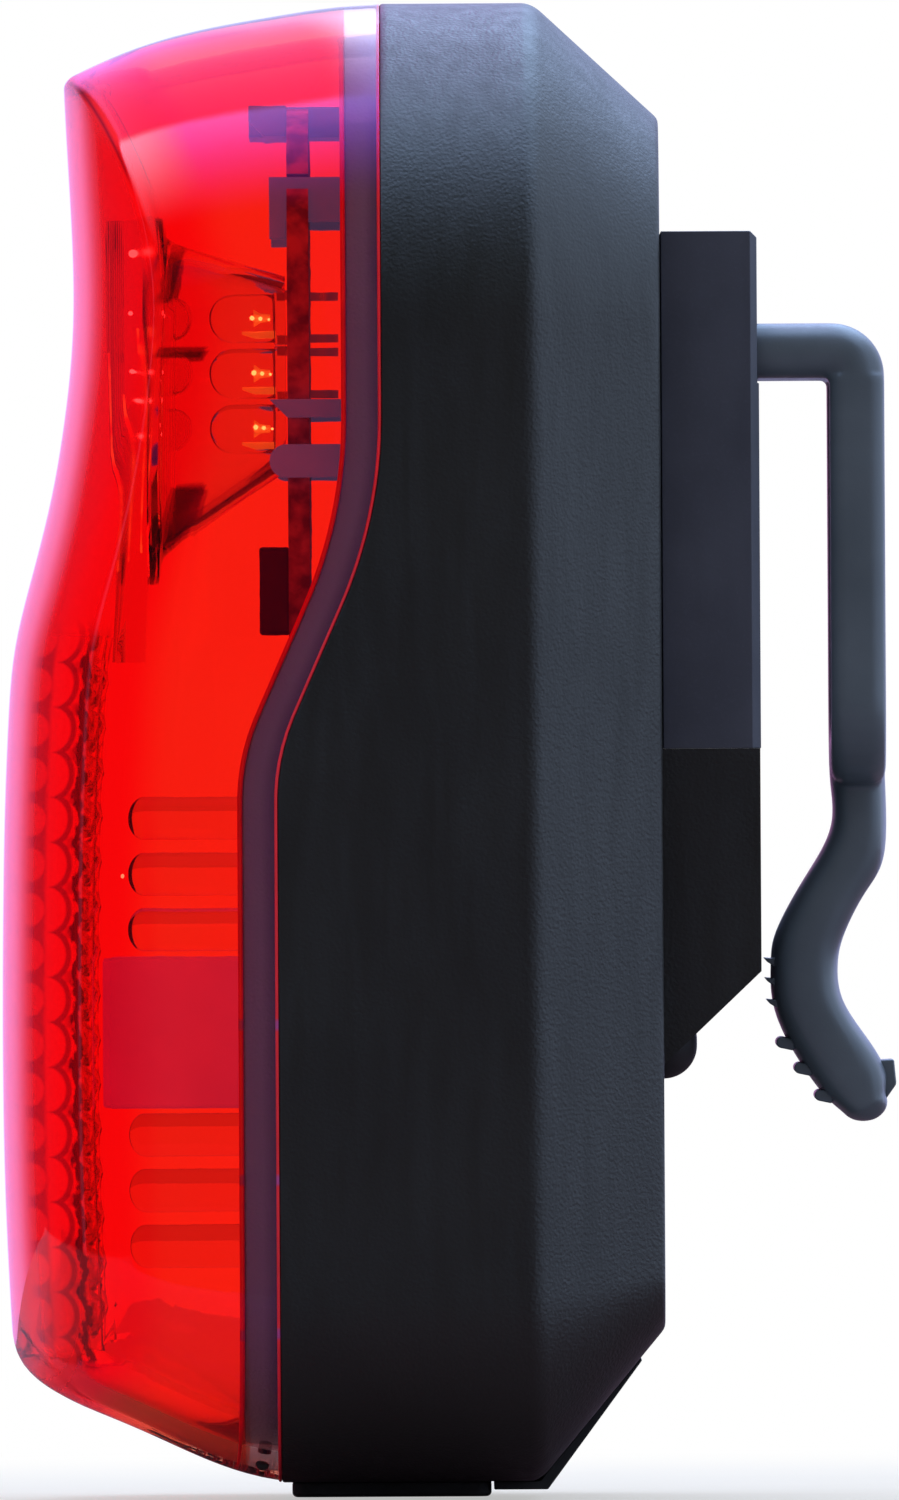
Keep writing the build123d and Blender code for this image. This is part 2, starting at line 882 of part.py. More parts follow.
with BuildPart() as charging_socket:
    with BuildSketch(Plane.XY.offset(z_socket_mouth)):
        with Locations((x_socket, 0)):
            RectangleRounded(
                socket_thickness, socket_width, socket_thickness * socket_corner_share
            )
            RectangleRounded(
                socket_thickness - 2 * socket_shell,
                socket_width - 2 * socket_shell,
                socket_thickness * socket_corner_share - socket_shell,
                mode=Mode.SUBTRACT,
            )
    extrude(amount=socket_length)
    with BuildSketch(Plane.XY.offset(z_socket_mouth + socket_length - socket_shell)):
        with Locations((x_socket, 0)):
            RectangleRounded(
                socket_thickness, socket_width, socket_thickness * socket_corner_share
            )
    extrude(amount=socket_shell)

with BuildPart() as socket_tongue:
    tongue_half = socket_tongue_thickness / 2
    tongue_reach = (socket_length - socket_shell) * socket_tongue_share
    slab(
        (x_socket - tongue_half, x_socket + tongue_half),
        (-socket_tongue_width / 2, socket_tongue_width / 2),
        (
            z_socket_mouth + socket_length - socket_shell - tongue_reach,
            z_socket_mouth + socket_length - socket_shell,
        ),
    )

# Battery: a flat cell taped to the back wall by a foam pad, with two leads to the switch board
pad_thickness = 1.25
pad_width = 18.0
pad_height = 24.0
cell_thickness = 8.0
cell_side_gap = 0.2
cell_height = 36.0
cell_low = -6.0
cell_edge = 1.5
lead_radius = 0.5
lead_offset_y = 2.0
cell_width = body_width - 2 * (boss_inset + boss_radius + cell_side_gap)
x_cell_rear = x_inner_back - pad_thickness
z_cell_centre = cell_low + cell_height / 2
z_switch_board_top = z_button + switch_board_above

with BuildPart() as battery_pad:
    slab(
        (x_cell_rear, x_inner_back),
        (-pad_width / 2, pad_width / 2),
        (z_cell_centre - pad_height / 2, z_cell_centre + pad_height / 2),
    )

with BuildPart() as battery_cell:
    slab(
        (x_cell_rear - cell_thickness, x_cell_rear),
        (-cell_width / 2, cell_width / 2),
        (cell_low, cell_low + cell_height),
    )
    fillet(battery_cell.edges().filter_by(Axis.Z), cell_edge)

with BuildPart() as battery_leads:
    with BuildSketch(Plane.XY.offset(z_switch_board_top)):
        with Locations(
            *[(x_switch_board_rear - switch_board_thickness / 2, side * lead_offset_y) for side in (-1, 1)]
        ):
            Circle(lead_radius)
    extrude(amount=cell_low - z_switch_board_top)

# Switch board on its posts, with its screws, the switch, and the ribbon to the main board
switch_size = 4.6
switch_height = 2.5
switch_floor = 0.9
plunger_radius = 1.2
plunger_gap = 0.05
plunger_proud = 0.6
board_screw_radius = 0.55
board_screw_head_radius = 1.1
board_screw_head_height = 0.5
board_screw_length = 3.4
ribbon_width = 6.0
ribbon_thickness = 0.3
ribbon_drop_rear = -4.6
ribbon_drop_front = -6.0
x_switch_top = x_switch_board_rear + switch_height
x_plunger_tip = x_switch_top + plunger_proud

with BuildPart() as switch_board:
    slab(
        (x_switch_board_front, x_switch_board_rear),
        (-switch_board_width / 2, switch_board_width / 2),
        (z_button - switch_board_below, z_switch_board_top),
    )
    with BuildSketch(Plane.YZ.offset(x_switch_board_front - overrun)):
        with Locations(*switch_post_places):
            Circle(switch_post_hole_radius + plunger_gap)
    extrude(amount=switch_board_thickness + 2 * overrun, mode=Mode.SUBTRACT)

with BuildPart() as switch_screws:
    with BuildSketch(Plane.YZ.offset(x_switch_board_front)):
        with Locations(*switch_post_places):
            Circle(board_screw_radius)
    extrude(amount=board_screw_length)
    with BuildSketch(Plane.YZ.offset(x_switch_board_front)):
        with Locations(*switch_post_places):
            Circle(board_screw_head_radius)
    extrude(amount=-board_screw_head_height)

with BuildPart() as tact_switch:
    half_switch = switch_size / 2
    slab(
        (x_switch_board_rear, x_switch_top),
        (-half_switch, half_switch),
        (z_button - half_switch, z_button + half_switch),
    )
    with BuildSketch(Plane.YZ.offset(x_switch_board_rear + switch_floor)):
        with Locations((0, z_button)):
            Circle(plunger_radius + plunger_gap)
    extrude(amount=switch_height, mode=Mode.SUBTRACT)

button_travel = 0.4
button_proud = 2.05
button_flange = 0.9
button_flange_thickness = 0.5
button_stem_radius = 1.6
button_round_share = 0.98
x_flange = x_inner_back - seat_gap

with BuildPart() as switch_plunger:
    with BuildSketch(Plane.YZ.offset(x_switch_board_rear + switch_floor + button_travel + plunger_gap)):
        with Locations((0, z_button)):
            Circle(plunger_radius)
    extrude(amount=x_plunger_tip - x_switch_board_rear - switch_floor - button_travel - plunger_gap)

with BuildPart() as ribbon:
    with BuildLine() as ribbon_path:
        x_middle = (x_switch_board_front + x_carrier_rear) / 2
        FilletPolyline(
            (x_switch_board_front, 0, z_button + ribbon_drop_rear),
            (x_middle, 0, z_button + ribbon_drop_rear),
            (x_middle, 0, z_button + ribbon_drop_front),
            (x_board_rear, 0, z_button + ribbon_drop_front),
            radius=(ribbon_drop_rear - ribbon_drop_front) / 2 - ribbon_thickness / 2,
        )
    with BuildSketch(Plane(origin=ribbon_path.line @ 0, x_dir=(0, 1, 0), z_dir=(-1, 0, 0))):
        Rectangle(ribbon_width, ribbon_thickness)
    sweep(path=ribbon_path.line)

# Power button: a half-round pill in the ramp's toe, with a flange and a stem inside
with BuildPart() as power_button:
    with BuildSketch(Plane.YZ.offset(x_flange - button_flange_thickness)):
        with Locations((0, z_button)):
            SlotOverall(button_width + 2 * button_flange, button_height + 2 * button_flange)
    extrude(amount=button_flange_thickness)
    with BuildSketch(Plane.YZ.offset(x_flange)):
        with Locations((0, z_button)):
            SlotOverall(button_width, button_height)
    extrude(amount=x_back + button_proud - x_flange)
    fillet(power_button.faces().sort_by(Axis.X)[-1].edges(), button_proud * button_round_share)
    with BuildSketch(Plane.YZ.offset(x_plunger_tip)):
        with Locations((0, z_button)):
            Circle(button_stem_radius)
    extrude(amount=x_flange - x_plunger_tip)

# Port flap: a soft strip under the foot that covers the socket, and its anchor on the bevel
flap_thickness = 0.9
flap_front = 0.6
flap_length = 12.0
flap_width = 15.0
flap_edge = 0.3
flap_seat_gap = 0.05
plug_depth = 0.85
plug_gap = 0.35
hinge_gap = 0.15
anchor_thickness = 0.5
anchor_tail_share = 0.8
anchor_tail_thickness = 0.15
x_flap_front = x_joint_foot + flap_front
x_flap_rear = x_flap_front + flap_length
z_flap_top = -foot_depth - flap_seat_gap
z_flap_low = z_flap_top - flap_thickness

with BuildPart() as port_flap:
    half_flap = flap_width / 2
    slab((x_flap_front, x_flap_rear), (-half_flap, half_flap), (z_flap_low, z_flap_top))
    fillet(port_flap.edges().filter_by(Axis.Z), flap_thickness)
    fillet(port_flap.faces().sort_by(Axis.Z)[0].edges(), flap_edge)
    slab(
        (x_board_rear - socket_gap + plug_gap, x_board_rear + socket_thickness + socket_gap - plug_gap),
        (plug_gap - socket_half, socket_half - plug_gap),
        (z_flap_top, z_flap_top + plug_depth),
    )

with BuildPart() as flap_anchor:
    bevel_run = x_back - x_bevel
    tail_x = x_bevel + bevel_run * anchor_tail_share
    tail_z = -foot_depth + bevel_foot * anchor_tail_share
    with BuildSketch(Plane.XZ):
        with BuildLine():
            Polyline(
                (x_flap_rear + hinge_gap, z_flap_top),
                (x_flap_rear + hinge_gap, z_flap_top - anchor_thickness),
                (x_bevel + anchor_thickness, z_flap_top - anchor_thickness),
                (tail_x + anchor_tail_thickness, tail_z - anchor_tail_thickness),
                (tail_x, tail_z - flap_seat_gap),
                (x_bevel, z_flap_top),
                close=True,
            )
        make_face()
    extrude(amount=half_flap, both=True)

# Clip bracket: a sleeve that slides up off the rail, with an opening for its release tongue
bracket_height = 31.1
bracket_top_wall = 2.6
bracket_edge = 0.5
land_low = 21.95
land_setback = 0.1
tongue_width = 10.0
tongue_low = 4.8
tongue_high = 18.7
tongue_slot = 0.7
tongue_thickness = 1.3
tongue_slide = 0.12
catch_height = 1.6
catch_reach = 1.0
x_bracket_front = x_back + bracket_seat_gap
x_channel = x_rail_neck - slide_gap
x_channel_rear = x_rail_head + slide_gap

with BuildPart() as clip_bracket:
    slab((x_bracket_front, 0), (-half_block, half_block), (0, bracket_height))
    rear_edges = clip_bracket.faces().sort_by(Axis.X)[-1].edges()
    chamfer(rear_edges.filter_by(Axis.Z) + rear_edges.sort_by(Axis.Z)[-1:], bracket_edge)
    neck_slot = neck_half + slide_gap
    head_slot = head_half + slide_gap
    z_channel = (-overrun, bracket_height - bracket_top_wall)
    slab((x_bracket_front - overrun, x_channel), (-neck_slot, neck_slot), z_channel, mode=Mode.SUBTRACT)
    slab((x_channel, x_channel_rear), (-head_slot, head_slot), z_channel, mode=Mode.SUBTRACT)
    # The strap face ends under the clip's root: above it the back is set in a little
    slab(
        (-land_setback, overrun),
        (-body_width, body_width),
        (land_low, bracket_height + overrun),
        mode=Mode.SUBTRACT,
    )
    slot_half = tongue_width / 2 + tongue_slot
    slab(
        (x_channel_rear - overrun, overrun),
        (-slot_half, slot_half),
        (tongue_low - tongue_slot, tongue_high + tongue_slide),
        mode=Mode.SUBTRACT,
    )

# Release tongue: springs from its upper end in the bracket's rear wall
x_tongue_axis = -tongue_thickness / 2
z_tongue_axis = tongue_high - tongue_thickness / 2

with BuildPart() as release_tongue:
    with BuildSketch(Plane.XZ):
        with BuildLine():
            Polyline(
                (0, z_tongue_axis),
                (0, tongue_low),
                (-tongue_thickness, tongue_low),
                (-tongue_thickness, z_tongue_axis),
                (0, z_tongue_axis),
            )
        make_face()
        with Locations((x_tongue_axis, z_tongue_axis)):
            Circle(tongue_thickness / 2)
    extrude(amount=tongue_width / 2, both=True)
    catch_half = catch_groove_width / 2 - slide_gap
    slab(
        (-tongue_thickness - catch_reach, -tongue_thickness),
        (-catch_half, catch_half),
        (tongue_low, tongue_low + catch_height),
    )

# Clip arm: a flat bar that turns down into a frame of two rods and a toothed tongue
arm_thickness = 3.3
arm_side_margin = 1.35
arm_low = 22.25
arm_gap = 4.25
arm_outer_radius = 3.0
arm_inner_radius = 0.9
arm_root_gap = 0.12
frame_rod = 3.3
frame_window_low = 1.4
frame_window_radius = 2.2
frame_foot = -2.4
frame_round_share = 0.21
grip_share = 0.52
arm_width = 2 * (half_block - arm_side_margin)
x_arm_inner = arm_gap
x_arm_outer = arm_gap + arm_thickness
z_arm_high = arm_low + arm_thickness
x_arm_axis = arm_root_gap + arm_thickness / 2
z_arm_axis = arm_low + arm_thickness / 2
# The grip's two sides, as shares of the arm's thickness aside from its inner face, and of its drop
grip_drop = 22.3
inner_grip_shares = (
    (0.0, -0.26),
    (-1.07, -0.55),
    (-1.09, -0.70),
    (-0.72, -0.82),
    (-0.10, -0.96),
    (0.27, -1.0),
)
outer_grip_shares = (
    (0.72, -0.985),
    (1.0, -0.91),
    (0.93, -0.86),
    (0.24, -0.69),
    (0.12, -0.585),
    (0.22, -0.51),
    (0.88, -0.33),
    (1.0, -0.27),
)
tooth_shares = (
    (-1.06, -0.578),
    (-1.06, -0.633),
    (-1.045, -0.692),
    (-0.909, -0.796),
    (-0.591, -0.865),
    (-0.212, -0.940),
)
tooth_radius = 0.4
tooth_width = 9.0
tail_shares = (
    (0.75, -0.85),
    (1.13, -0.844),
    (1.182, -0.909),
    (0.955, -0.951),
    (0.75, -0.95),
)
tail_width = 6.0


def grip_point(across, along):
    """A point of the grip's side view from its shares."""
    return (x_arm_inner + across * arm_thickness, along * grip_drop)


with BuildPart() as clip_arm:
    with BuildSketch(Plane.XZ):
        with BuildLine():
            bar = FilletPolyline(
                (x_arm_axis, z_arm_high),
                (x_arm_outer, z_arm_high),
                grip_point(*outer_grip_shares[-1]),
                radius=arm_outer_radius,
            )
            outer = Polyline(*[grip_point(*point) for point in outer_grip_shares[::-1]])
            Line(outer @ 1, grip_point(*inner_grip_shares[-1]))
            inner = Polyline(*[grip_point(*point) for point in inner_grip_shares[::-1]])
            under = FilletPolyline(
                inner @ 1,
                (x_arm_inner, arm_low),
                (x_arm_axis, arm_low),
                radius=arm_inner_radius,
            )
            Line(under @ 1, bar @ 0)
        make_face()
        with Locations((x_arm_axis, z_arm_axis)):
            Circle(arm_thickness / 2)
    extrude(amount=arm_width / 2, both=True)
    # Seen from behind: the frame with its window, then the narrower grip
    with BuildSketch(Plane.YZ.offset(-arm_gap)) as mask:
        arm_half = arm_width / 2
        grip_half = arm_width * grip_share / 2
        frame_foot_radius = arm_width * frame_round_share
        with BuildLine():
            FilletPolyline(
                (arm_half, z_arm_high + overrun),
                (-arm_half, z_arm_high + overrun),
                (-arm_half, frame_foot),
                (-grip_half, frame_foot),
                (-grip_half, -grip_drop - overrun),
                (grip_half, -grip_drop - overrun),
                (grip_half, frame_foot),
                (arm_half, frame_foot),
                radius=[0, 0, frame_foot_radius, 0, 0, 0, 0, frame_foot_radius],
                close=True,
            )
        make_face()
        window_height = arm_low - frame_window_low
        with Locations((0, frame_window_low + window_height / 2)):
            RectangleRounded(
                arm_width - 2 * frame_rod, window_height, frame_window_radius, mode=Mode.SUBTRACT
            )
    extrude(amount=2 * arm_gap + arm_thickness + overrun, mode=Mode.INTERSECT)
    # Ribs across the grip's inner side, and the small tab on its tail
    with BuildSketch(Plane.XZ):
        with Locations(*[grip_point(*point) for point in tooth_shares]):
            Circle(tooth_radius)
    extrude(amount=tooth_width / 2, both=True)
    with BuildSketch(Plane.XZ):
        with BuildLine():
            Polyline(*[grip_point(*point) for point in tail_shares], close=True)
        make_face()
    extrude(amount=tail_width / 2, both=True)

pieces = {
    "housing": housing,
    "lens": lens,
    "reflex_reflector": reflex_reflector,
    "window_optic": window_optic,
    "reflector_bowl": reflector_bowl,
    "led_leads": led_leads,
    "centre_baffle": centre_baffle,
    "circuit_board": circuit_board,
    "board_carrier": board_carrier,
    "carrier_screws": carrier_screws,
    "power_coil": power_coil,
    "driver_chip": driver_chip,
    "capacitors": capacitors,
    "charging_socket": charging_socket,
    "socket_tongue": socket_tongue,
    "battery_cell": battery_cell,
    "battery_pad": battery_pad,
    "battery_leads": battery_leads,
    "switch_board": switch_board,
    "switch_screws": switch_screws,
    "tact_switch": tact_switch,
    "switch_plunger": switch_plunger,
    "ribbon": ribbon,
    "power_button": power_button,
    "port_flap": port_flap,
    "flap_anchor": flap_anchor,
    "clip_bracket": clip_bracket,
    "release_tongue": release_tongue,
    "clip_arm": clip_arm,
}
for name, led in zip(led_names, leds):
    pieces[name] = led
for name in guide_centres:
    pieces[f"light_guide_{name}"] = light_guides[name]
    pieces[f"chip_lamps_{name}"] = chip_groups[name]

for name, piece in pieces.items():
    export(piece, name)
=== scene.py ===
# %% [markdown]
# # A clip-on bicycle rear light
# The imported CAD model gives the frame: every part in its place, in metres, with its joints. This notebook
# dresses that frame. It builds smooth surfaces over the main shapes and gives each part a finish made of
# nodes: grained black plastic, clear red plastic, clear lamps, soft rubber and tinned metal.

import json
import math
import bmesh
import bpy
import numpy as np
from mathutils import Matrix, Vector

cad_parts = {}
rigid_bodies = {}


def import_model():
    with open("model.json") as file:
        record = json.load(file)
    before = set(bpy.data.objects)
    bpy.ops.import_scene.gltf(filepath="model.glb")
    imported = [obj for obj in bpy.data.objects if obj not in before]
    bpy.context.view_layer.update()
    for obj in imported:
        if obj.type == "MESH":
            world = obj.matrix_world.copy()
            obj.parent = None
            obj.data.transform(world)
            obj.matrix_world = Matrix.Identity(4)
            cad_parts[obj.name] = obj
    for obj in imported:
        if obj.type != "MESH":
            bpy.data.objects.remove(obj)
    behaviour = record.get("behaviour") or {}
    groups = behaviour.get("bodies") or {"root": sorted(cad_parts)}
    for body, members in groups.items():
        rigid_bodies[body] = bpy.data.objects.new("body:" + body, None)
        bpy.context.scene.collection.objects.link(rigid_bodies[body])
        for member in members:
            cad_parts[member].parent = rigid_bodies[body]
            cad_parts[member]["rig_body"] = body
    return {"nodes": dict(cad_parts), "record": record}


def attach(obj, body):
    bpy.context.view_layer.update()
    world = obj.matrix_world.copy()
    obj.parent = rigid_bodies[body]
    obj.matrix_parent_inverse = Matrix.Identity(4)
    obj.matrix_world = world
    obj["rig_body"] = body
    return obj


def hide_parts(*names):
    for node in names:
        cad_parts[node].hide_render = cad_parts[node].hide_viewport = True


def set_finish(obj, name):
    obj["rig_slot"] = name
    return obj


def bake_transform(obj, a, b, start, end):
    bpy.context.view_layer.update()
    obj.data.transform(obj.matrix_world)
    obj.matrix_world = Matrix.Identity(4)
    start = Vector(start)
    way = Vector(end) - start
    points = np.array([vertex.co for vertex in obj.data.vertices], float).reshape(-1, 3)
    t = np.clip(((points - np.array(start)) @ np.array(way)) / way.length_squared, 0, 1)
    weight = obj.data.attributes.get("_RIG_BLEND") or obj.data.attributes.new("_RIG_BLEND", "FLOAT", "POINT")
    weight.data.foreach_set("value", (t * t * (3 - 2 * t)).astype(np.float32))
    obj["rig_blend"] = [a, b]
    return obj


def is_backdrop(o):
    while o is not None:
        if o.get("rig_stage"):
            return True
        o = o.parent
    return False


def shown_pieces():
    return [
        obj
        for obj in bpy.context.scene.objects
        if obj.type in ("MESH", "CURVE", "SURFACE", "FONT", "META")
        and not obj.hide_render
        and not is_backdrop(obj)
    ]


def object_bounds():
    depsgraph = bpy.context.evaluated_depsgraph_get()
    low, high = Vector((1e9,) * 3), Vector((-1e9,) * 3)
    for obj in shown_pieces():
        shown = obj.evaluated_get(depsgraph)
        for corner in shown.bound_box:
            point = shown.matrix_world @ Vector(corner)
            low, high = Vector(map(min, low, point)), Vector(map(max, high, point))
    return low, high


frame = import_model()
nodes = frame["nodes"]
cad_low, cad_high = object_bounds()
scene = bpy.context.scene
scene.view_settings.view_transform = "Standard"
MM = 0.001
print("CAD nodes:", len(nodes))
print("CAD box in mm:", [round(v / MM, 2) for v in (*cad_low, *cad_high)])

# %% [markdown]
# ## Camera
# The light is photographed square to its left side, from far away, so lines that run backwards hardly
# shrink. A long lens from 2.4 m does the same. The picture is 1500 pixels high at 0.0604 mm per pixel, and
# the body leans by a third of a degree in it, so the camera is rolled rather than the light.

# %% Camera at the photograph's angle
PIXEL = 0.0604
picture_height = 1500 * PIXEL * MM
camera_distance = 2.4
picture_middle = Vector((-18.73 * MM, 0.0, 0.0))
lean = 0.0058
camera_data = bpy.data.cameras.new("camera")
camera_data.sensor_width = 36.0
camera_data.lens = camera_data.sensor_width * camera_distance / picture_height
camera = bpy.data.objects.new("camera", camera_data)
scene.collection.objects.link(camera)
right = Vector((math.cos(lean), 0.0, -math.sin(lean)))
up = Vector((math.sin(lean), 0.0, math.cos(lean)))
place = Matrix((right, up, Vector((0, -1, 0)))).transposed().to_4x4()
place.translation = picture_middle + Vector((0, -camera_distance, 0))
camera.matrix_world = place
scene.camera = camera
print("camera lens in mm:", round(camera_data.lens, 1))

# %% [markdown]
# ## Light
# The photograph has a white background and one broad light that reaches from behind the object to straight
# above it; the camera's side is dim. The world does this by direction. Rays from the camera and through
# clear plastic see white. Shiny surfaces see a bluish bright half behind, a brighter sky overhead, a rosy
# part on the left that grows stronger upwards and ends far out, and a weaker light on the right. Matt
# surfaces get a plain, even light.


# %% Helpers for node trees
def fill(node, sockets):
    """Fills each named or numbered socket of a node with a value or a link."""
    for key, value in sockets.items():
        if isinstance(value, bpy.types.NodeSocket):
            node.id_data.links.new(value, node.inputs[key])
        else:
            node.inputs[key].default_value = value
    return node


def put(tree, kind, sockets=None, **settings):
    """Adds a node, sets its options and fills its sockets."""
    node = tree.nodes.new(kind)
    for key, value in settings.items():
        setattr(node, key, value)
    return fill(node, sockets or {})


def sums(tree, operation, *values):
    """One arithmetic step over one or two links or numbers, and a chain of them over more."""
    result = put(tree, "ShaderNodeMath", dict(enumerate(values[:2])), operation=operation).outputs[0]
    for value in values[2:]:
        result = put(tree, "ShaderNodeMath", {0: result, 1: value}, operation=operation).outputs[0]
    return result


def mixed(tree, factor, below, above):
    """below * (1 - factor) + above * factor, where each colour is a link or three numbers."""
    node = put(tree, "ShaderNodeMix", {"Factor": factor}, data_type="RGBA")
    colours = [c if isinstance(c, bpy.types.NodeSocket) else (*c, 1.0) for c in (below, above)]
    return fill(node, {6: colours[0], 7: colours[1]}).outputs[2]


def spread(tree, value, low, high, start=0.3, end=0.7, kind="LINEAR"):
    """low + (high - low) * share, where share is how far value has come from start to end."""
    sockets = {"Value": value, "From Min": start, "From Max": end, "To Min": low, "To Max": high}
    return put(tree, "ShaderNodeMapRange", sockets, interpolation_type=kind).outputs[0]


def soft_step(tree, value, start, end):
    """Rises from 0 at start to 1 at end with soft ends."""
    return spread(tree, value, 0.0, 1.0, start, end, "SMOOTHSTEP")


def object_parts(tree):
    """X, Y and Z of each point of a piece, in metres, as three outputs."""
    return put(tree, "ShaderNodeSeparateXYZ", {0: put(tree, "ShaderNodeTexCoord").outputs["Object"]}).outputs


# %% World
scene.cycles.max_bounces = 26
scene.cycles.glossy_bounces = 20
scene.cycles.transmission_bounces = 24
world = bpy.data.worlds.new("studio")
scene.world = world
world.use_nodes = True
sky = world.node_tree
sky.nodes.clear()
direction = put(sky, "ShaderNodeTexCoord")
heading = put(sky, "ShaderNodeSeparateXYZ", {0: direction.outputs["Generated"]}).outputs


def towards(axis, start, end):
    """A soft step from 0 to 1 along one axis of the view direction."""
    return soft_step(sky, heading[axis], start, end)


behind = towards("Y", -0.05, 0.06)
on_left = sums(sky, "MULTIPLY", towards("X", -0.02, -0.12), behind)
far_left = sums(sky, "MULTIPLY", towards("X", -0.36, -0.58), behind)
rosy_top = sums(sky, "MULTIPLY", towards("Z", 0.1, 0.4), on_left)
overhead_sky = sums(sky, "MULTIPLY", towards("Z", 0.25, 0.85), towards("Y", -0.75, 0.0))
dim_front, bright_back, even_light = (0.04, 0.042, 0.05), (0.85, 0.92, 1.6), (0.66, 0.68, 0.72)
gloss_light = mixed(sky, behind, dim_front, bright_back)
for mask, colour in (
    (overhead_sky, (4.0, 5.6, 8.6)),
    (towards("X", 0.4, 0.85), (1.1, 1.4, 1.95)),
    (on_left, (1.0, 0.42, 0.95)),
    (rosy_top, (1.8, 0.62, 2.1)),
    (far_left, (0.1, 0.02, 0.05)),
):
    gloss_light = mixed(sky, mask, gloss_light, colour)
ray = put(sky, "ShaderNodeLightPath").outputs
lit_by = mixed(sky, ray["Is Glossy Ray"], even_light, gloss_light)
seen_directly = sums(sky, "MAXIMUM", ray["Is Camera Ray"], ray["Is Transmission Ray"])
sky_colour = mixed(sky, seen_directly, lit_by, (1, 1, 1))
background = put(sky, "ShaderNodeBackground", {"Color": sky_colour, "Strength": 1.0})
put(sky, "ShaderNodeOutputWorld", {"Surface": background.outputs[0]})
print("world nodes:", len(sky.nodes))

# %% [markdown]
# A soft lamp overhead adds the gradient from top to foot. The pale floor keeps the shadow and fades to
# white away from it. It sends up a dimmer light, and shiny surfaces see it as a dim rose, as they do in the
# photograph.

# %% Lamp overhead and floor
lamp_data = bpy.data.lights.new("overhead", "AREA")
lamp_data.shape = "RECTANGLE"
lamp_data.size, lamp_data.size_y = 0.7, 0.4
lamp_data.energy = 1.35
lamp_data.color = (0.82, 0.92, 1.0)
overhead = bpy.data.objects.new("overhead", lamp_data)
scene.collection.objects.link(overhead)
overhead.location = (-0.03, 0.1, 0.6)
overhead.visible_glossy = False
overhead.rotation_euler = (math.radians(-9), 0, 0)

floor_height = cad_low.z - 0.25 * MM
floor_mesh = bpy.data.meshes.new("floor")
reach = 0.35
floor_corners = [(-reach, -reach), (reach, -reach), (reach, reach), (-reach, reach)]
floor_mesh.from_pydata([(x, y, floor_height) for x, y in floor_corners], [], [(0, 1, 2, 3)])
floor = bpy.data.objects.new("floor", floor_mesh)
scene.collection.objects.link(floor)
floor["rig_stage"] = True
floor_finish = bpy.data.materials.new("pale_floor")
floor_finish.use_nodes = True
floor_tree = floor_finish.node_tree
floor_shader = floor_tree.nodes["Principled BSDF"]
speckle = put(floor_tree, "ShaderNodeTexNoise", {"Scale": 60.0, "Detail": 4.0})
grey = spread(floor_tree, speckle.outputs["Fac"], 0.84, 0.9, 0.0, 1.0)
floor_colour = put(floor_tree, "ShaderNodeCombineColor", {0: grey, 1: grey, 2: grey}).outputs[0]
floor_ray = put(floor_tree, "ShaderNodeLightPath").outputs
mirrored = sums(floor_tree, "GREATER_THAN", floor_ray["Is Glossy Ray"], floor_ray["Is Transmission Ray"])
floor_colour = mixed(floor_tree, floor_ray["Is Diffuse Ray"], floor_colour, (0.3, 0.31, 0.33))
floor_colour = mixed(floor_tree, mirrored, floor_colour, (0.24, 0.15, 0.21))
fill(floor_shader, {"Base Color": floor_colour, "Roughness": 0.9, "Specular IOR Level": 0.1})
floor_parts = object_parts(floor_tree)
flat_place = put(floor_tree, "ShaderNodeCombineXYZ", {0: floor_parts["X"], 1: floor_parts["Y"]})
away = put(floor_tree, "ShaderNodeVectorMath", {0: flat_place.outputs[0]}, operation="LENGTH")
fade = spread(floor_tree, away.outputs["Value"], 0.5, 1.0, 0.05, 0.16, "SMOOTHSTEP")
seen_white = sums(floor_tree, "MULTIPLY", floor_ray["Is Camera Ray"], fade)
white_floor = put(floor_tree, "ShaderNodeEmission", {"Color": (1, 1, 1, 1), "Strength": 1.0})
shaders_in = {0: seen_white, 1: floor_shader.outputs[0], 2: white_floor.outputs[0]}
floor_mix = put(floor_tree, "ShaderNodeMixShader", shaders_in)
fill(floor_tree.nodes["Material Output"], {"Surface": floor_mix.outputs[0]})
floor_mesh.materials.append(floor_finish)
print("floor at mm:", round(floor_height / MM, 2))

# %% [markdown]
# ## Shapes as functions
# Most of this light is one outline, carried from back to front: an upright shape with a round head and
# smaller round corners at the foot. Every point of it is written as a share of a few lengths, so one array
# call gives the outline at any depth, drawn in by any amount. The lens and the housing both use it, and so
# they meet.

# %% The body's outline as shares
body_half, body_head, body_foot = 21.0, 45.05, -44.0
head_round, foot_round = 19.0, 11.0


def half_shares(foot_flat=8, foot_arc=20, flank=64, head_arc=40, head_flat=4):
    """Shares of (half width, head radius, foot radius | head, foot, head radius, foot radius) along the right
    half. Straight runs mix their two ends; on a corner the angle a gives cos a - 1 and 1 + sin a of the
    radius."""
    rows = []
    for t in np.linspace(0, 1, foot_flat, endpoint=False):
        rows.append((t, 0, -t, 0, 1, 0, 0))
    for a in np.linspace(-math.pi / 2, 0, foot_arc, endpoint=False):
        rows.append((1, 0, math.cos(a) - 1, 0, 1, 0, 1 + math.sin(a)))
    for t in np.linspace(0, 1, flank, endpoint=False):
        rows.append((1, 0, 0, t, 1 - t, -t, 1 - t))
    for a in np.linspace(0, math.pi / 2, head_arc, endpoint=False):
        rows.append((1, math.cos(a) - 1, 0, 1, 0, math.sin(a) - 1, 0))
    for t in np.linspace(0, 1, head_flat):
        rows.append((1 - t, t - 1, 0, 1, 0, 0, 0))
    return np.array(rows)


right_half = half_shares()
left_half = right_half[-2:0:-1] * np.array([-1, -1, -1, 1, 1, 1, 1])
ring_shares = np.vstack([right_half, left_half])


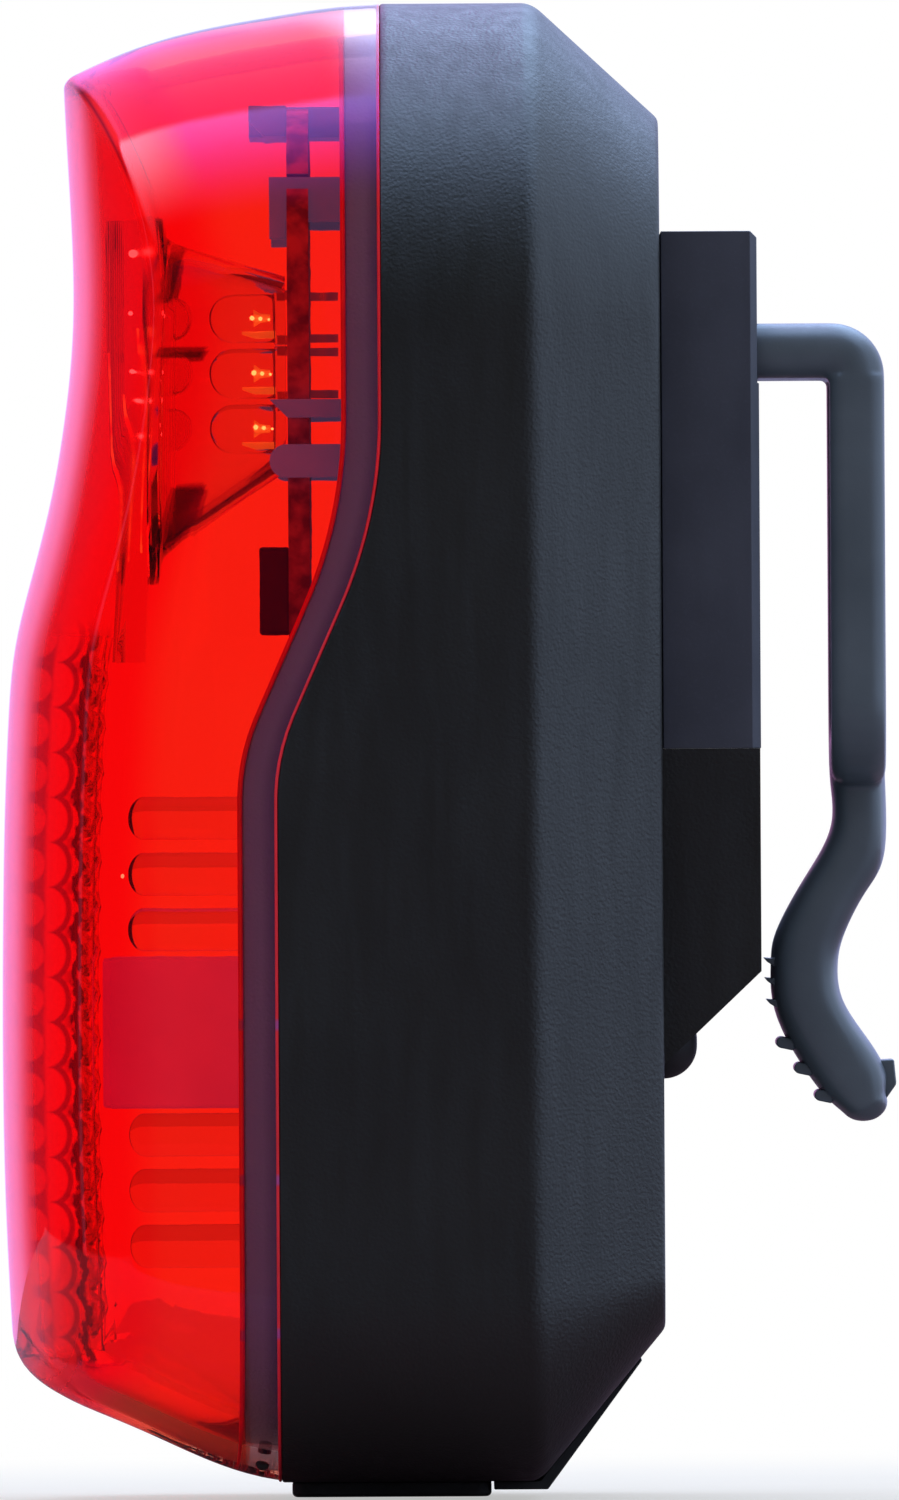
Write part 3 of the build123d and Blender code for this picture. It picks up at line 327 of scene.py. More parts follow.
def body_ring(side, head, foot):
    """y = half width and radii times their shares, z likewise, for the outline drawn in at three sides."""
    s = ring_shares
    radius_head = head_round - (side + head) / 2
    radius_foot = foot_round - (side + foot) / 2
    y = s[:, 0] * (body_half - side) + s[:, 1] * radius_head + s[:, 2] * radius_foot
    z = s[:, 3] * (body_head - head) + s[:, 4] * (body_foot + foot)
    z = z + s[:, 5] * radius_head + s[:, 6] * radius_foot
    return y, z


print("points round the outline:", len(ring_shares))


# %% Smooth curves through a few points
def cubic_through(knots, values):
    """The natural cubic curve: one cubic per gap, with equal slope and bend where two meet."""
    knots, values = np.asarray(knots, float), np.asarray(values, float)
    gap = np.diff(knots)
    slope = np.diff(values) / gap
    count = len(knots)
    matrix, wanted = np.zeros((count, count)), np.zeros(count)
    matrix[0, 0] = matrix[-1, -1] = 1.0
    inner = np.arange(1, count - 1)
    matrix[inner, inner - 1] = gap[:-1]
    matrix[inner, inner] = 2 * (gap[:-1] + gap[1:])
    matrix[inner, inner + 1] = gap[1:]
    wanted[inner] = 6 * np.diff(slope)
    bend = np.linalg.solve(matrix, wanted)

    def curve(at):
        at = np.clip(at, knots[0], knots[-1])
        i = np.clip(np.searchsorted(knots, at) - 1, 0, count - 2)
        a, b, h = knots[i + 1] - at, at - knots[i], gap[i]
        bent = (bend[i] * a**3 + bend[i + 1] * b**3) / (6 * h)
        return bent + (values[i] / h - bend[i] * h / 6) * a + (values[i + 1] / h - bend[i + 1] * h / 6) * b

    return curve


def rounded_line(points, radii, steps=16):
    """Straight runs with arcs for corners: an arc touches both runs at radius / tan(half the angle)."""
    points = np.asarray(points, float)
    line = [points[0]]
    for corner, before, after, radius in zip(points[1:-1], points[:-2], points[2:], radii):
        a = (before - corner) / np.linalg.norm(before - corner)
        b = (after - corner) / np.linalg.norm(after - corner)
        half = math.acos(np.clip(a @ b, -1, 1)) / 2
        middle = (a + b) / np.linalg.norm(a + b)
        centre = corner + middle * radius / math.sin(half)
        start, end = corner + a * radius / math.tan(half), corner + b * radius / math.tan(half)
        turn = math.pi - 2 * half
        t = np.linspace(0, 1, steps)[:, None]
        first, last = start - centre, end - centre
        line.extend(centre + (np.sin((1 - t) * turn) * first + np.sin(t * turn) * last) / math.sin(turn))
    line.append(points[-1])
    return np.array(line)


x_back, x_bevel, x_joint_head, x_joint_foot, x_lens = -5.95, -13.55, -22.7, -29.05, -45.85
joint_corners = [(x_joint_head, 48), (x_joint_head, 14.1), (x_joint_foot, -0.35), (x_joint_foot, -47)]
joint_line = rounded_line(joint_corners, [28, 13])


def joint_x(z):
    """Depth of the S-shaped line between lens and housing at height z."""
    return np.interp(z, joint_line[::-1, 1], joint_line[::-1, 0])


print("joint line from", joint_x(40.0), "to", joint_x(-40.0))


# %% Build a mesh from a grid
def grid_faces(rows, columns, wrap_rows=False, wrap_columns=True):
    """Four corners for each cell of a grid, with the last row or column joined to the first if wanted."""
    r = np.arange(rows if wrap_rows else rows - 1)[:, None]
    c = np.arange(columns if wrap_columns else columns - 1)[None, :]
    r2, c2 = (r + 1) % rows, (c + 1) % columns
    corners = [r * columns + c, r * columns + c2, r2 * columns + c2, r2 * columns + c]
    return np.stack(np.broadcast_arrays(*corners), -1).reshape(-1, 4)


def shade_smooth(mesh):
    """Shades every face smooth."""
    mesh.polygons.foreach_set("use_smooth", np.ones(len(mesh.polygons), bool))


def make_piece(name, points, faces, sharp=None, outward=True):
    """A mesh object from points in millimetres and lists of corners: doubles are merged, faces turned
    outwards and shaded smooth, apart from edges sharper than sharp degrees."""
    mesh = bpy.data.meshes.new(name)
    mesh.from_pydata((np.asarray(points, float).reshape(-1, 3) * MM).tolist(), [], faces)
    work = bmesh.new()
    work.from_mesh(mesh)
    bmesh.ops.remove_doubles(work, verts=work.verts, dist=2e-7)
    bmesh.ops.dissolve_degenerate(work, edges=work.edges, dist=1e-8)
    if outward:
        bmesh.ops.recalc_face_normals(work, faces=work.faces)
    work.to_mesh(mesh)
    work.free()
    shade_smooth(mesh)
    if sharp is not None:
        mesh.set_sharp_from_angle(angle=math.radians(sharp))
    mesh.update()
    piece = bpy.data.objects.new(name, mesh)
    scene.collection.objects.link(piece)
    print(name, "faces:", len(mesh.polygons))
    return piece


def sheet_of(name, grid, wrap_rows=False, sharp=None):
    """One piece from one grid of points, shaped (rows, columns, 3)."""
    rows, columns = grid.shape[:2]
    return make_piece(name, grid, grid_faces(rows, columns, wrap_rows).tolist(), sharp)


def soft_corner(before, corner, after, steps):
    """Points of a curve that leaves before towards corner and arrives at after: the quadratic Bezier."""
    t = np.linspace(0, 1, steps)[:, None, None]
    return (1 - t) ** 2 * before + 2 * t * (1 - t) * corner + t**2 * after


def stack(x, y, z):
    """Rows of points from three arrays."""
    return np.stack(np.broadcast_arrays(x, y, z), -1)


# %% [markdown]
# ## Lens
# The lens is one clear red moulding. Its side narrows a little towards the front, and its front face runs
# in a slow S from foot to head and falls back on both sides. The two meet in a crease that is sharp at the
# head and softer lower down. The wall is found by asking, for each point of the outline, at which depth it
# meets the front; the face is then a grid from that edge to a line down its middle. A second, smaller copy
# is its inside.

# %% Lens surfaces
lens_depth = x_joint_head - x_lens
taper_along = (-0.05, 0.12, 0.27, 0.445, 0.62, 0.834, 1.03)
tapers = [
    cubic_through(taper_along, shares)
    for shares in (
        (0.0, 0.04, 0.10, 0.22, 0.38, 0.66, 1.0),
        (0.0, 0.027, 0.094, 0.19, 0.335, 0.63, 1.0),
        (0.0, 0.0, 0.015, 0.17, 0.43, 0.73, 1.0),
    )
]
taper_full = (2.1, 7.45, 7.0)
front_heights = (-1.085, -0.83, -0.645, -0.46, -0.256, -0.082, 0.04, 0.14)
front_heights += (0.235, 0.34, 0.44, 0.56, 0.68, 0.84, 1.06)
front_reaches = (0.970, 0.986, 0.996, 1.0, 0.999, 0.995, 0.989, 0.978)
front_reaches += (0.952, 0.922, 0.902, 0.888, 0.888, 0.897, 0.904)
front_z = [h * (body_head if h > 0 else -body_foot) for h in front_heights]
front_curve = cubic_through(front_z, [x_back - 39.87 * r for r in front_reaches])
lens_wall, crown, flange_depth, rim_gap = 1.7, 42.0, 2.12, 0.02
near_rim = np.array([0.0, 0.3, 1.2, flange_depth - 0.03, flange_depth + 0.03])
wall_steps, crease_steps, face_steps = 22, 9, 20
spine_foot, spine_head = -33.0, 22.0


def front_x(y, z, inset=0.0):
    """Depth of the lens's front: the S-curve at height z, falling back sideways on a circle."""
    return front_curve(z) + crown - np.sqrt(crown**2 - np.minimum(np.abs(y), 30) ** 2) + inset


def lens_ring(x, inset):
    """The lens's outline at depth x, narrowed by its taper at side, head and foot and drawn in by inset."""
    along = np.clip((x_joint_head - x) / lens_depth, -0.05, 1.03)
    return body_ring(*(full * taper(along) + inset for full, taper in zip(taper_full, tapers)))


def find_depth(gap, low, high, steps=44):
    """For each outline point, the depth between low and high where gap changes sign, by halving."""
    low = np.full(len(ring_shares), float(low))
    high = np.full(len(ring_shares), float(high))
    for _ in range(steps):
        middle = (low + high) / 2
        above = gap(middle) > 0
        high, low = np.where(above, middle, high), np.where(above, low, middle)
    return (low + high) / 2


def lens_shell(inset, softness):
    """Rows from the rim along the wall, round the crease and over the face to its middle line."""

    def wall(x):
        return stack(x, *lens_ring(x, inset))

    edge_x = find_depth(lambda x: x - front_x(*lens_ring(x, inset), inset), x_lens - 1, x_joint_head)
    rim_x = find_depth(lambda x: x - joint_x(lens_ring(x, inset)[1]) + rim_gap, x_lens, x_joint_head + 1)
    edge = wall(edge_x)
    ease = softness(edge[:, 2])
    near = rim_x - near_rim[:, None]
    t = np.linspace(0, 1, wall_steps)[:, None]
    far = near[-1] - 0.4 + t * (edge_x + ease - near[-1] + 0.4)
    wall_rows = np.array([wall(x) for x in np.concatenate([near, far])])
    spine_z = np.clip(edge[:, 2], spine_foot + inset / 2, spine_head)

    def face(share):
        y = edge[:, 1] * share
        z = spine_z + (edge[:, 2] - spine_z) * share
        return stack(front_x(y, z, inset), y, z)

    span = np.hypot(edge[:, 1], edge[:, 2] - spine_z)
    start = 1 - ease / span
    crease_rows = soft_corner(wall_rows[-1], edge, face(start), crease_steps)[1:]
    face_rows = np.array([face(start * share) for share in np.linspace(1, 0, face_steps)[1:]])
    return np.concatenate([wall_rows, crease_rows, face_rows])


def crease_outside(z):
    """How far the rounding reaches from the crease: small at the head and wide lower down."""
    return np.interp(z, [-41, -34, 5, 18, 30, 36], [2.2, 5.0, 5.2, 3.0, 1.1, 0.5])


inner_crease_share = 0.72
lens_outer = lens_shell(0.0, crease_outside)
lens_inner = lens_shell(lens_wall, lambda z: crease_outside(z) * inner_crease_share)
rim_steps = np.linspace(0, 1, 5)[1:-1, None, None]
rim_rows = lens_outer[0] + (lens_inner[0] - lens_outer[0]) * rim_steps
lens = sheet_of("red_lens", np.concatenate([lens_outer[::-1], rim_rows, lens_inner]), sharp=50)

# %% [markdown]
# The finish of the lens needs to know where it is on the lens, so the points carry numbers: how near they
# are to the crease and to the fine line of painted shade on the crease at the top, how far behind the front,
# on the flange or not, and whether their face is an outer one.


# %% Marks on the points of a piece
def point_rows(mesh, source="vertices", field="co"):
    """The places or normals of a mesh's points, one row each."""
    values = np.zeros(len(mesh.vertices) * 3)
    getattr(mesh, source).foreach_get(field, values)
    return values.reshape(-1, 3)


def store(piece, label, values):
    """Stores a number on each point under a label."""
    layer = piece.data.attributes.new(label, "FLOAT", "POINT")
    layer.data.foreach_set("value", values.astype(np.float32))


def mark(piece, label, rule):
    """Stores what a rule gives for x, y and z in millimetres."""
    store(piece, label, rule(*(point_rows(piece.data) / MM).T))


def near_line(line, reach, x, y, z):
    """exp(-(distance / reach)^2), a bell of the distance to a line of points."""
    nearest = np.full(len(x), 99.0)
    block = 4000
    for start in range(0, len(x), block):
        part = slice(start, start + block)
        apart = stack(x[part], y[part], z[part])[:, None] - line[None]
        nearest[part] = np.linalg.norm(apart, axis=2).min(1)
    return np.exp(-((nearest / reach) ** 2))


crease_row = len(near_rim) + wall_steps + crease_steps // 2
crease_line = lens_outer[crease_row]
clear_reach, clear_fade, clear_foot = 4.6, 3.0, -39.0


def straight_share(x, y, z):
    """Share of the band from the front to past the crease, where the wall hardly bends the view."""
    line = crease_line[: len(right_half)]
    crease_x = np.interp(z, line[:, 2], line[:, 0])
    from_front = np.clip((crease_x + clear_reach - x) / clear_fade, 0, 1)
    return from_front * np.clip((z - clear_foot) / clear_fade, 0, 1)


def painted_crease_line(x, y, z):
    """A fine line of painted shade on the crease, only near the head."""
    by_height = np.interp(z, [33.5, 35, 40, 41.5], [0, 1, 1, 0])
    return near_line(crease_line, 0.16, x, y, z) * by_height


lens_normals = point_rows(lens.data, "vertex_normals", "vector")
outward = lens_normals[:, 1] * np.sign(point_rows(lens.data)[:, 1]) - lens_normals[:, 0] > 0
store(lens, "outside", outward)
for label, rule in (
    ("crease", lambda x, y, z: near_line(crease_line, 1.2, x, y, z)),
    ("corner", straight_share),
    # the next mark places the painted shade line on the crease near the head
    ("crease_shade", painted_crease_line),
    ("front_depth", lambda x, y, z: np.clip((front_x(y, z) + 5.0 - x) / 3.0, 0, 1)),
    ("behind_front", lambda x, y, z: np.minimum(x - front_curve(z), 9.0)),
    ("flange", lambda x, y, z: joint_x(z) - x < flange_depth),
):
    mark(lens, label, rule)
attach(lens, "light")
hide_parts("lens")
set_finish(lens, "red_lens")
print("marks on the lens:", [layer.name for layer in lens.data.attributes if layer.domain == "POINT"])

# %% [markdown]
# ## Housing
# The black shell is the same outline with another profile: from the inside of its back, forward along the
# bore, round the lip that the lens is welded over, back along the outside, over the wide bevel and across
# the back. Each of these is a row of the grid, and each edge that a mould would round gets a few rows of
# its own.

# %% Housing shell
bevel_in = np.array([6.0, 7.05, 9.2])
lip_in = np.array(taper_full) * np.array([0.17, 0.16, 0.09])
lip_step, lip_taper_length = 1.8, 8.45
back_wall, bore_wall, cap_reach = 2.0, 3.4, 22.0
housing_rows = []


def inset_ring(inset, extra=(0, 0, 0)):
    """The outline drawn in by inset, and by extra at side, head and foot."""
    return body_ring(*(inset + np.asarray(extra, float)))


def housing_row(depth, inset, extra=(0, 0, 0)):
    """One outline at a depth, which may be a number or a function of height."""
    y, z = inset_ring(inset, extra)
    housing_rows.append(stack(depth(z) if callable(depth) else depth, y, z))


def flat_end(depth, inset, extra):
    """Closes an outline to a line down its middle, in six rows."""
    y, z = inset_ring(inset, extra)
    middle = np.clip(z, -cap_reach, cap_reach)
    return [stack(depth, y * s, middle + (z - middle) * s) for s in np.linspace(0, 1, 6)]


def lip_outline(shift, more=0.0):
    """The lip's outer surface where the joint line, moved forward by shift, crosses it."""

    def ring_at(x):
        share = np.clip((x_joint_head - x) / lip_taper_length, 0, 1)
        return body_ring(*(lip_step + more + amount * share for amount in lip_in))

    x = find_depth(lambda x: x - joint_x(ring_at(x)[1]) + shift, -36, -20)
    return stack(x, *ring_at(x))


def bevel_share(t):
    """A row on the bevel: t runs from its front edge to its back edge."""
    return x_bevel + (x_back - x_bevel) * t, bevel_in * t


housing_rows += flat_end(x_back - back_wall, back_wall, bevel_in)
for depth, inset in ((x_bevel, back_wall), (x_bevel - 4, back_wall), (x_bevel - 4, bore_wall)):
    housing_row(depth, inset)
for ahead, inset in ((1.0, bore_wall), (1.8, bore_wall), (2.05, 3.25), (2.1, 3.05)):
    housing_row(lambda z: joint_x(z) - ahead, inset)
for shift, more in ((2.1, 0.22), (2.04, 0.06), (1.85, 0.0), (1.0, 0.0), (0.0, 0.0)):
    housing_rows.append(lip_outline(shift, more))
for step, inset in ((0.0, 0.16), (0.05, 0.04), (0.16, 0), (0.5, 0), (1.5, 0), (3.0, 0), (5.0, 0), (7.0, 0)):
    housing_row(lambda z: joint_x(z) + step, inset)
after_x, after_in = bevel_share(0.08)
round_before = stack(x_bevel - 0.65, *body_ring(0, 0, 0))
round_corner = stack(x_bevel, *body_ring(0, 0, 0))
housing_rows += list(soft_corner(round_before, round_corner, stack(after_x, *body_ring(*after_in)), 7))
for t in (0.4, 0.65, 0.9):
    x, inset = bevel_share(t)
    housing_row(x, 0.0, inset)
back_x, back_in = bevel_share(0.97)
back_rings = [stack(back_x, *body_ring(*back_in)), stack(x_back, *body_ring(*bevel_in))]
housing_rows += list(soft_corner(*back_rings, stack(x_back, *body_ring(*(bevel_in + 0.3))), 4))
housing_rows += flat_end(x_back, 0.3, bevel_in)[-2::-1]
shell = sheet_of("housing_shell", np.array(housing_rows), sharp=40)

# %% [markdown]
# A thin bead of the lens's own plastic is squeezed out along the joint when the two shells are welded, and
# a second fine line shows where the lip's edge touches the lens. Each is a small round tube along its own
# outline.


# %% Weld beads
def bead_along(name, ring, inner_ring, radius, turns=8):
    """A closed tube round the body: ring is its middle line and inner_ring shows which way is inwards."""
    inward = inner_ring - ring
    inward /= np.linalg.norm(inward, axis=1)[:, None]
    forward = np.array([-1.0, 0.0, 0.0])
    angle = np.linspace(0, 2 * math.pi, turns, endpoint=False)
    rows = [ring + radius * (inward * math.cos(a) + forward * math.sin(a)) for a in angle]
    return sheet_of(name, np.array(rows), wrap_rows=True)


def joint_outline(inset, shift=0.1):
    """The outline that lies inset from the body's surface and shift ahead of the joint line."""
    y, z = inset_ring(inset)
    return stack(joint_x(z) - shift, y, z)


weld_bead = bead_along("weld_bead", joint_outline(0.13), joint_outline(0.5), 0.1)
lip_bead = bead_along("lip_bead", lip_outline(2.24, -0.02), lip_outline(2.24, 0.3), 0.15)
for piece in (weld_bead, lip_bead):
    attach(piece, "light")
    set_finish(piece, "red_lens")

# %% [markdown]
# ## Stop block, rail and soft copies
# The block that stops the bracket is a plain prism with a ramp, and the rail is a T-shaped bar above it.
# Plain parts like these, and the CAD's own square parts, get small rounded edges from a bevel, as any mould
# gives.


# %% Prisms and softened copies
def prism(name, outline, low, high, axis="Y"):
    """An outline of (a, b) points carried from low to high: along Y it lies in XZ, along Z it lies in XY."""
    outline = np.asarray(outline, float)
    count = len(outline)
    levels = np.repeat([float(low), float(high)], count)
    a, b = np.tile(outline, (2, 1)).T
    points = stack(a, levels, b) if axis == "Y" else stack(a, b, levels)
    side = np.arange(count)
    after = (side + 1) % count
    faces = np.stack([side, after, after + count, side + count], -1).tolist()
    return make_piece(name, points, [*faces, side.tolist(), (side + count).tolist()])


def settle(piece):
    """Replaces a piece's mesh by the result of its modifiers."""
    bpy.context.view_layer.update()
    shown = piece.evaluated_get(bpy.context.evaluated_depsgraph_get())
    mesh = bpy.data.meshes.new_from_object(shown)
    mesh.name = piece.name
    old, piece.data = piece.data, mesh
    piece.modifiers.clear()
    bpy.data.meshes.remove(old)


def soften(piece, width, steps=3, angle=28):
    """Rounds every edge sharper than angle by width, in millimetres, and shades the flats flat."""
    bevel = piece.modifiers.new("edges", "BEVEL")
    bevel.width = width * MM
    bevel.segments = steps
    bevel.limit_method = "ANGLE"
    bevel.angle_limit = math.radians(angle)
    bevel.use_clamp_overlap = True
    bevel.harden_normals = False
    settle(piece)
    shade_smooth(piece.data)
    weigh = piece.modifiers.new("flats", "WEIGHTED_NORMAL")
    weigh.keep_sharp = False
    weigh.weight = 80
    settle(piece)
    print(piece.name, "faces:", len(piece.data.polygons))
    return piece


def cut_away(piece, cutter):
    """Takes the cutter's shape out of the piece, then removes the cutter."""
    knife = piece.modifiers.new("cut", "BOOLEAN")
    knife.object = cutter
    knife.operation = "DIFFERENCE"
    knife.solver = "EXACT"
    settle(piece)
    bpy.data.objects.remove(cutter)


def softened_copy(node, width):
    """A copy of a CAD node: its triangles are merged into flat faces, and its edges are rounded."""
    mesh = nodes[node].data.copy()
    mesh.materials.clear()
    flat = math.radians(0.6)
    work = bmesh.new()
    work.from_mesh(mesh)
    bmesh.ops.remove_doubles(work, verts=work.verts, dist=1e-6)
    bmesh.ops.dissolve_limit(
        work, angle_limit=flat, verts=work.verts, edges=work.edges, use_dissolve_boundaries=False
    )
    work.to_mesh(mesh)
    work.free()
    piece = bpy.data.objects.new("soft_" + node, mesh)
    scene.collection.objects.link(piece)
    soften(piece, width)
    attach(piece, nodes[node]["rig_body"])
    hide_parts(node)
    return piece


def slot_bar(name, half_length, half_height, centre, x_low, x_high):
    """A bar along X whose section is a slot: two half circles joined by straight runs."""
    a = np.linspace(-math.pi / 2, math.pi / 2, 14)
    straight = half_length - half_height
    y = np.concatenate([straight + half_height * np.cos(a), -straight - half_height * np.cos(a)])
    z = np.concatenate([centre + half_height * np.sin(a), centre - half_height * np.sin(a)])
    low_end, high_end = stack(x_low, 0 * y, centre), stack(x_high, 0 * y, centre)
    rows = [low_end, stack(x_low, y, z), stack(x_high, y, z), high_end]
    return sheet_of(name, np.array(rows), sharp=30)


# %% Openings of the housing: the socket's in its foot and the button's in its back
button_height = -17.7
socket_edge = [(-27.25, -4.75), (-23.55, -4.75), (-23.55, 4.75), (-27.25, 4.75)]
cut_away(shell, prism("socket_hole", socket_edge, -46.0, -35.6, "Z"))
cut_away(shell, slot_bar("button_hole", 5.15, 2.35, button_height, -9.0, -5.0))
mark(shell, "lip", lambda x, y, z: x < joint_x(z) - 0.01)
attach(shell, "light")
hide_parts("housing")
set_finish(shell, "black_case")
print("housing faces:", len(shell.data.polygons))

# %% Stop block with the button's pocket, and the rail
block_outline = [(-7.0, -0.001), (-0.05, -0.001), (-0.05, -13.4), (-5.95, -19.0), (-7.0, -19.0)]
stop_block = prism("stop_block", block_outline, -12.0, 12.0)
cut_away(stop_block, slot_bar("pocket", 5.35, 2.55, button_height, -5.96, 2.0))
soften(stop_block, 0.32)
rail_outline = [(-7.0, -5.5), (-4.2, -5.5), (-4.2, -8.5), (-2.1, -8.5), (-2.1, -2.3), (-2.8, -2.3)]
rail_outline += [(x, -y) for x, y in rail_outline[::-1]]
rail = prism("rail", rail_outline, 0.6, 27.6, "Z")
soften(rail, 0.25)
for piece in (stop_block, rail):
    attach(piece, "light")
    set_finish(piece, "black_case")

# %% [markdown]
# ## Bracket and clip
# The bracket is square, so a softened copy of its node is enough. The clip is one moulding: a bar that
# turns down into a frame of two rods and ends in a toothed grip. Its parts are swept one by one, then fused
# and smoothed, which rounds the inner corners as a mould does. The root stays with the bracket and the rest
# swings.


# %% Sweeps for the clip
def flat_ring(half_across, half_along, corner, steps=6):
    """A rounded rectangle as (a, b) offsets: quarter circles of radius corner between straight sides."""
    points = []
    for number, (side_a, side_b) in enumerate(((1, 1), (-1, 1), (-1, -1), (1, -1))):
        turn = number * math.pi / 2
        for angle in np.linspace(turn, turn + math.pi / 2, steps):
            a = side_a * (half_across - corner) + corner * math.cos(angle)
            b = side_b * (half_along - corner) + corner * math.sin(angle)
            points.append((a, b))
    return np.array(points)


def sweep_flat(path, ring, plane, aside=0.0):
    """Carries a ring along a flat path that lies aside from the middle: its first offset runs across the path
    and its second out of the plane. Both ends are closed by a middle point."""
    path = np.asarray(path, float)
    run = np.gradient(path, axis=0)
    run /= np.linalg.norm(run, axis=1)[:, None]
    across = np.stack([-run[:, 1], run[:, 0]], -1)
    spot = path[:, None, :] + across[:, None, :] * ring[None, :, 0, None]
    rows = np.zeros((len(path), len(ring), 3))
    u, v, w = plane
    rows[..., u], rows[..., v], rows[..., w] = spot[..., 0], spot[..., 1], ring[None, :, 1] + aside
    return closed_tube(rows)


def closed_tube(rows):
    """Adds a middle point at both ends, so that the tube is closed."""
    first = np.broadcast_to(rows[0].mean(0), rows[0].shape)[None]
    last = np.broadcast_to(rows[-1].mean(0), rows[-1].shape)[None]
    return np.concatenate([first, rows, last])


def fused(name, grids, voxel, smoothing):
    """Joins closed grids into one skin: a voxel remesh, then a few rounds of smoothing."""
    points, faces, start = [], [], 0
    for grid in grids:
        rows, columns = grid.shape[:2]
        points.append(grid.reshape(-1, 3))
        faces += (grid_faces(rows, columns) + start).tolist()
        start += rows * columns
    piece = make_piece(name, np.concatenate(points), faces)
    remesh = piece.modifiers.new("fuse", "REMESH")
    remesh.mode = "VOXEL"
    remesh.voxel_size = voxel * MM
    smooth = piece.modifiers.new("smooth", "SMOOTH")
    smooth.factor, smooth.iterations = 0.5, smoothing
    settle(piece)
    shade_smooth(piece.data)
    print(name, "faces after fusing:", len(piece.data.polygons))
    return piece


# %% Clip: bar and frame
rod_x, bar_z, rod_half, bar_half = 5.9, 23.9, 1.65, 10.65
bar_ring = flat_ring(rod_half, bar_half, 1.5)
bar_path = np.stack([np.linspace(-0.6, 4.4, 12), np.full(12, bar_z)], -1)
bar = sweep_flat(bar_path, bar_ring, (0, 2, 1))
loop_path = rounded_line([(-9.0, 22.4), (-9.0, -0.6), (9.0, -0.6), (9.0, 22.4)], [3.4, 3.4], 10)
down = loop_path[:1] + (loop_path[1] - loop_path[0]) * np.linspace(0, 0.95, 12)[:, None]
back_up = loop_path[-2:-1] + (loop_path[-1] - loop_path[-2]) * np.linspace(0.05, 1, 12)[:, None]
loop_path = np.vstack([down, loop_path[1:-1], back_up])
loop = sweep_flat(loop_path, flat_ring(rod_half, rod_half, 0.95), (1, 2, 0), rod_x)
corner_path = rounded_line([(3.0, bar_z), (rod_x, bar_z), (rod_x, 22.1)], [1.5], 10)
corner_bar = sweep_flat(corner_path, bar_ring, (0, 2, 1))
print("rows of the frame:", len(loop))

# %% Clip: grip
inner_side = [(4.25, 0.5), (4.25, -2.0), (4.26, -4.84), (2.6, -7.95), (0.95, -11.0), (0.6, -12.9)]
inner_side += [(0.69, -15.3), (1.75, -18.0), (3.55, -20.7), (4.9, -22.0)]
outer_side = [(7.55, 0.5), (7.55, -2.0), (7.5, -6.3), (6.35, -8.7), (5.05, -11.2), (4.63, -13.1)]
outer_side += [(4.92, -15.2), (6.3, -17.4), (7.45, -19.4), (7.45, -20.9)]
stations = np.linspace(0, 1, len(inner_side))
fine = np.linspace(0, 1, 46)


def smooth_side(points):
    """A smooth line through a side's points."""
    return np.stack([cubic_through(stations, values)(fine) for values in np.array(points).T], -1)


def tip(end):
    """Points from an end of a side round the tip: middle + run * length * sin a + (end - middle) * cos a."""
    return tip_middle + tip_run * tip_length * np.sin(tip_angle) + (end - tip_middle) * np.cos(tip_angle)


inner_line, outer_line = smooth_side(inner_side), smooth_side(outer_side)
tip_middle = (inner_line[-1] + outer_line[-1]) / 2
tip_run, tip_length = np.array([0.55, -0.83]), 1.15
tip_angle = np.linspace(0, math.pi / 2, 9)[1:, None]
grip_inner = np.vstack([inner_line, tip(inner_line[-1])])
grip_outer = np.vstack([outer_line, tip(outer_line[-1])])
angle = np.linspace(0, 2 * math.pi, 40, endpoint=False)
across = np.sign(np.cos(angle)) * np.abs(np.cos(angle)) ** 0.55
beside = np.sign(np.sin(angle)) * np.abs(np.sin(angle)) ** 0.42
half_widths = np.interp(np.arange(len(grip_inner)), [0, 4, 30, 46, 53], [5.0, 5.7, 5.7, 5.4, 3.6])
middle_line = (grip_inner + grip_outer)[:, None] / 2
half_line = (grip_outer - grip_inner)[:, None] / 2
grip_x, grip_z = np.moveaxis(middle_line + half_line * across[:, None], -1, 0)
grip = stack(grip_x, half_widths[:, None] * beside, grip_z)
clip = fused("clip_loop", [bar, loop, corner_bar, closed_tube(grip)], voxel=0.19, smoothing=5)
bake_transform(clip, "bracket", "clip", start=(0.0006, 0, 0.0239), end=(0.0034, 0, 0.0239))
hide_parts("clip_arm")
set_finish(clip, "clip_grey")

# %% [markdown]
# The grip's teeth are three thin hooks and three round nubs across its inner side, and a small square tab
# stands on its tail. They are prisms drawn from the side, softened a little, and they swing with the clip.

# %% Teeth and tail tab
hook_shape = [(0.45, 0.36), (-0.05, 0.22), (-0.46, 0.26), (-0.22, -0.02), (0.1, -0.22), (0.45, -0.34)]
nub_angle = np.linspace(math.pi / 2, 3 * math.pi / 2, 9)
nub_radius, tooth_half, tab_half = 0.34, 4.4, 3.0
nub_round = nub_radius * np.stack([np.cos(nub_angle), np.sin(nub_angle)], -1)
nub_shape = np.vstack([nub_round, [(0.8, -nub_radius), (0.8, nub_radius)]])
lean_back = math.radians(-12)
turn = np.array([[math.cos(lean_back), -math.sin(lean_back)], [math.sin(lean_back), math.cos(lean_back)]])
tooth_pieces = []
for kind, shape, width, sharpest, places in (
    ("hook", np.array(hook_shape), 0.07, 28, ((0.62, -12.9), (0.66, -14.1), (0.74, -15.4))),
    ("nub", nub_shape @ turn.T, 0.1, 50, ((1.2, -17.75), (2.28, -19.3), (3.5, -20.95))),
):
    for number, spot in enumerate(places):
        tooth = prism(f"tooth_{kind}_{number}", shape + spot, -tooth_half, tooth_half)
        tooth_pieces.append(soften(tooth, width, 2, sharpest))
tab_shape = [(6.3, -18.9), (7.98, -18.8), (8.12, -20.3), (7.45, -21.25), (6.3, -21.1)]
tooth_pieces.append(soften(prism("tail_tab", tab_shape, -tab_half, tab_half), 0.12, 2))
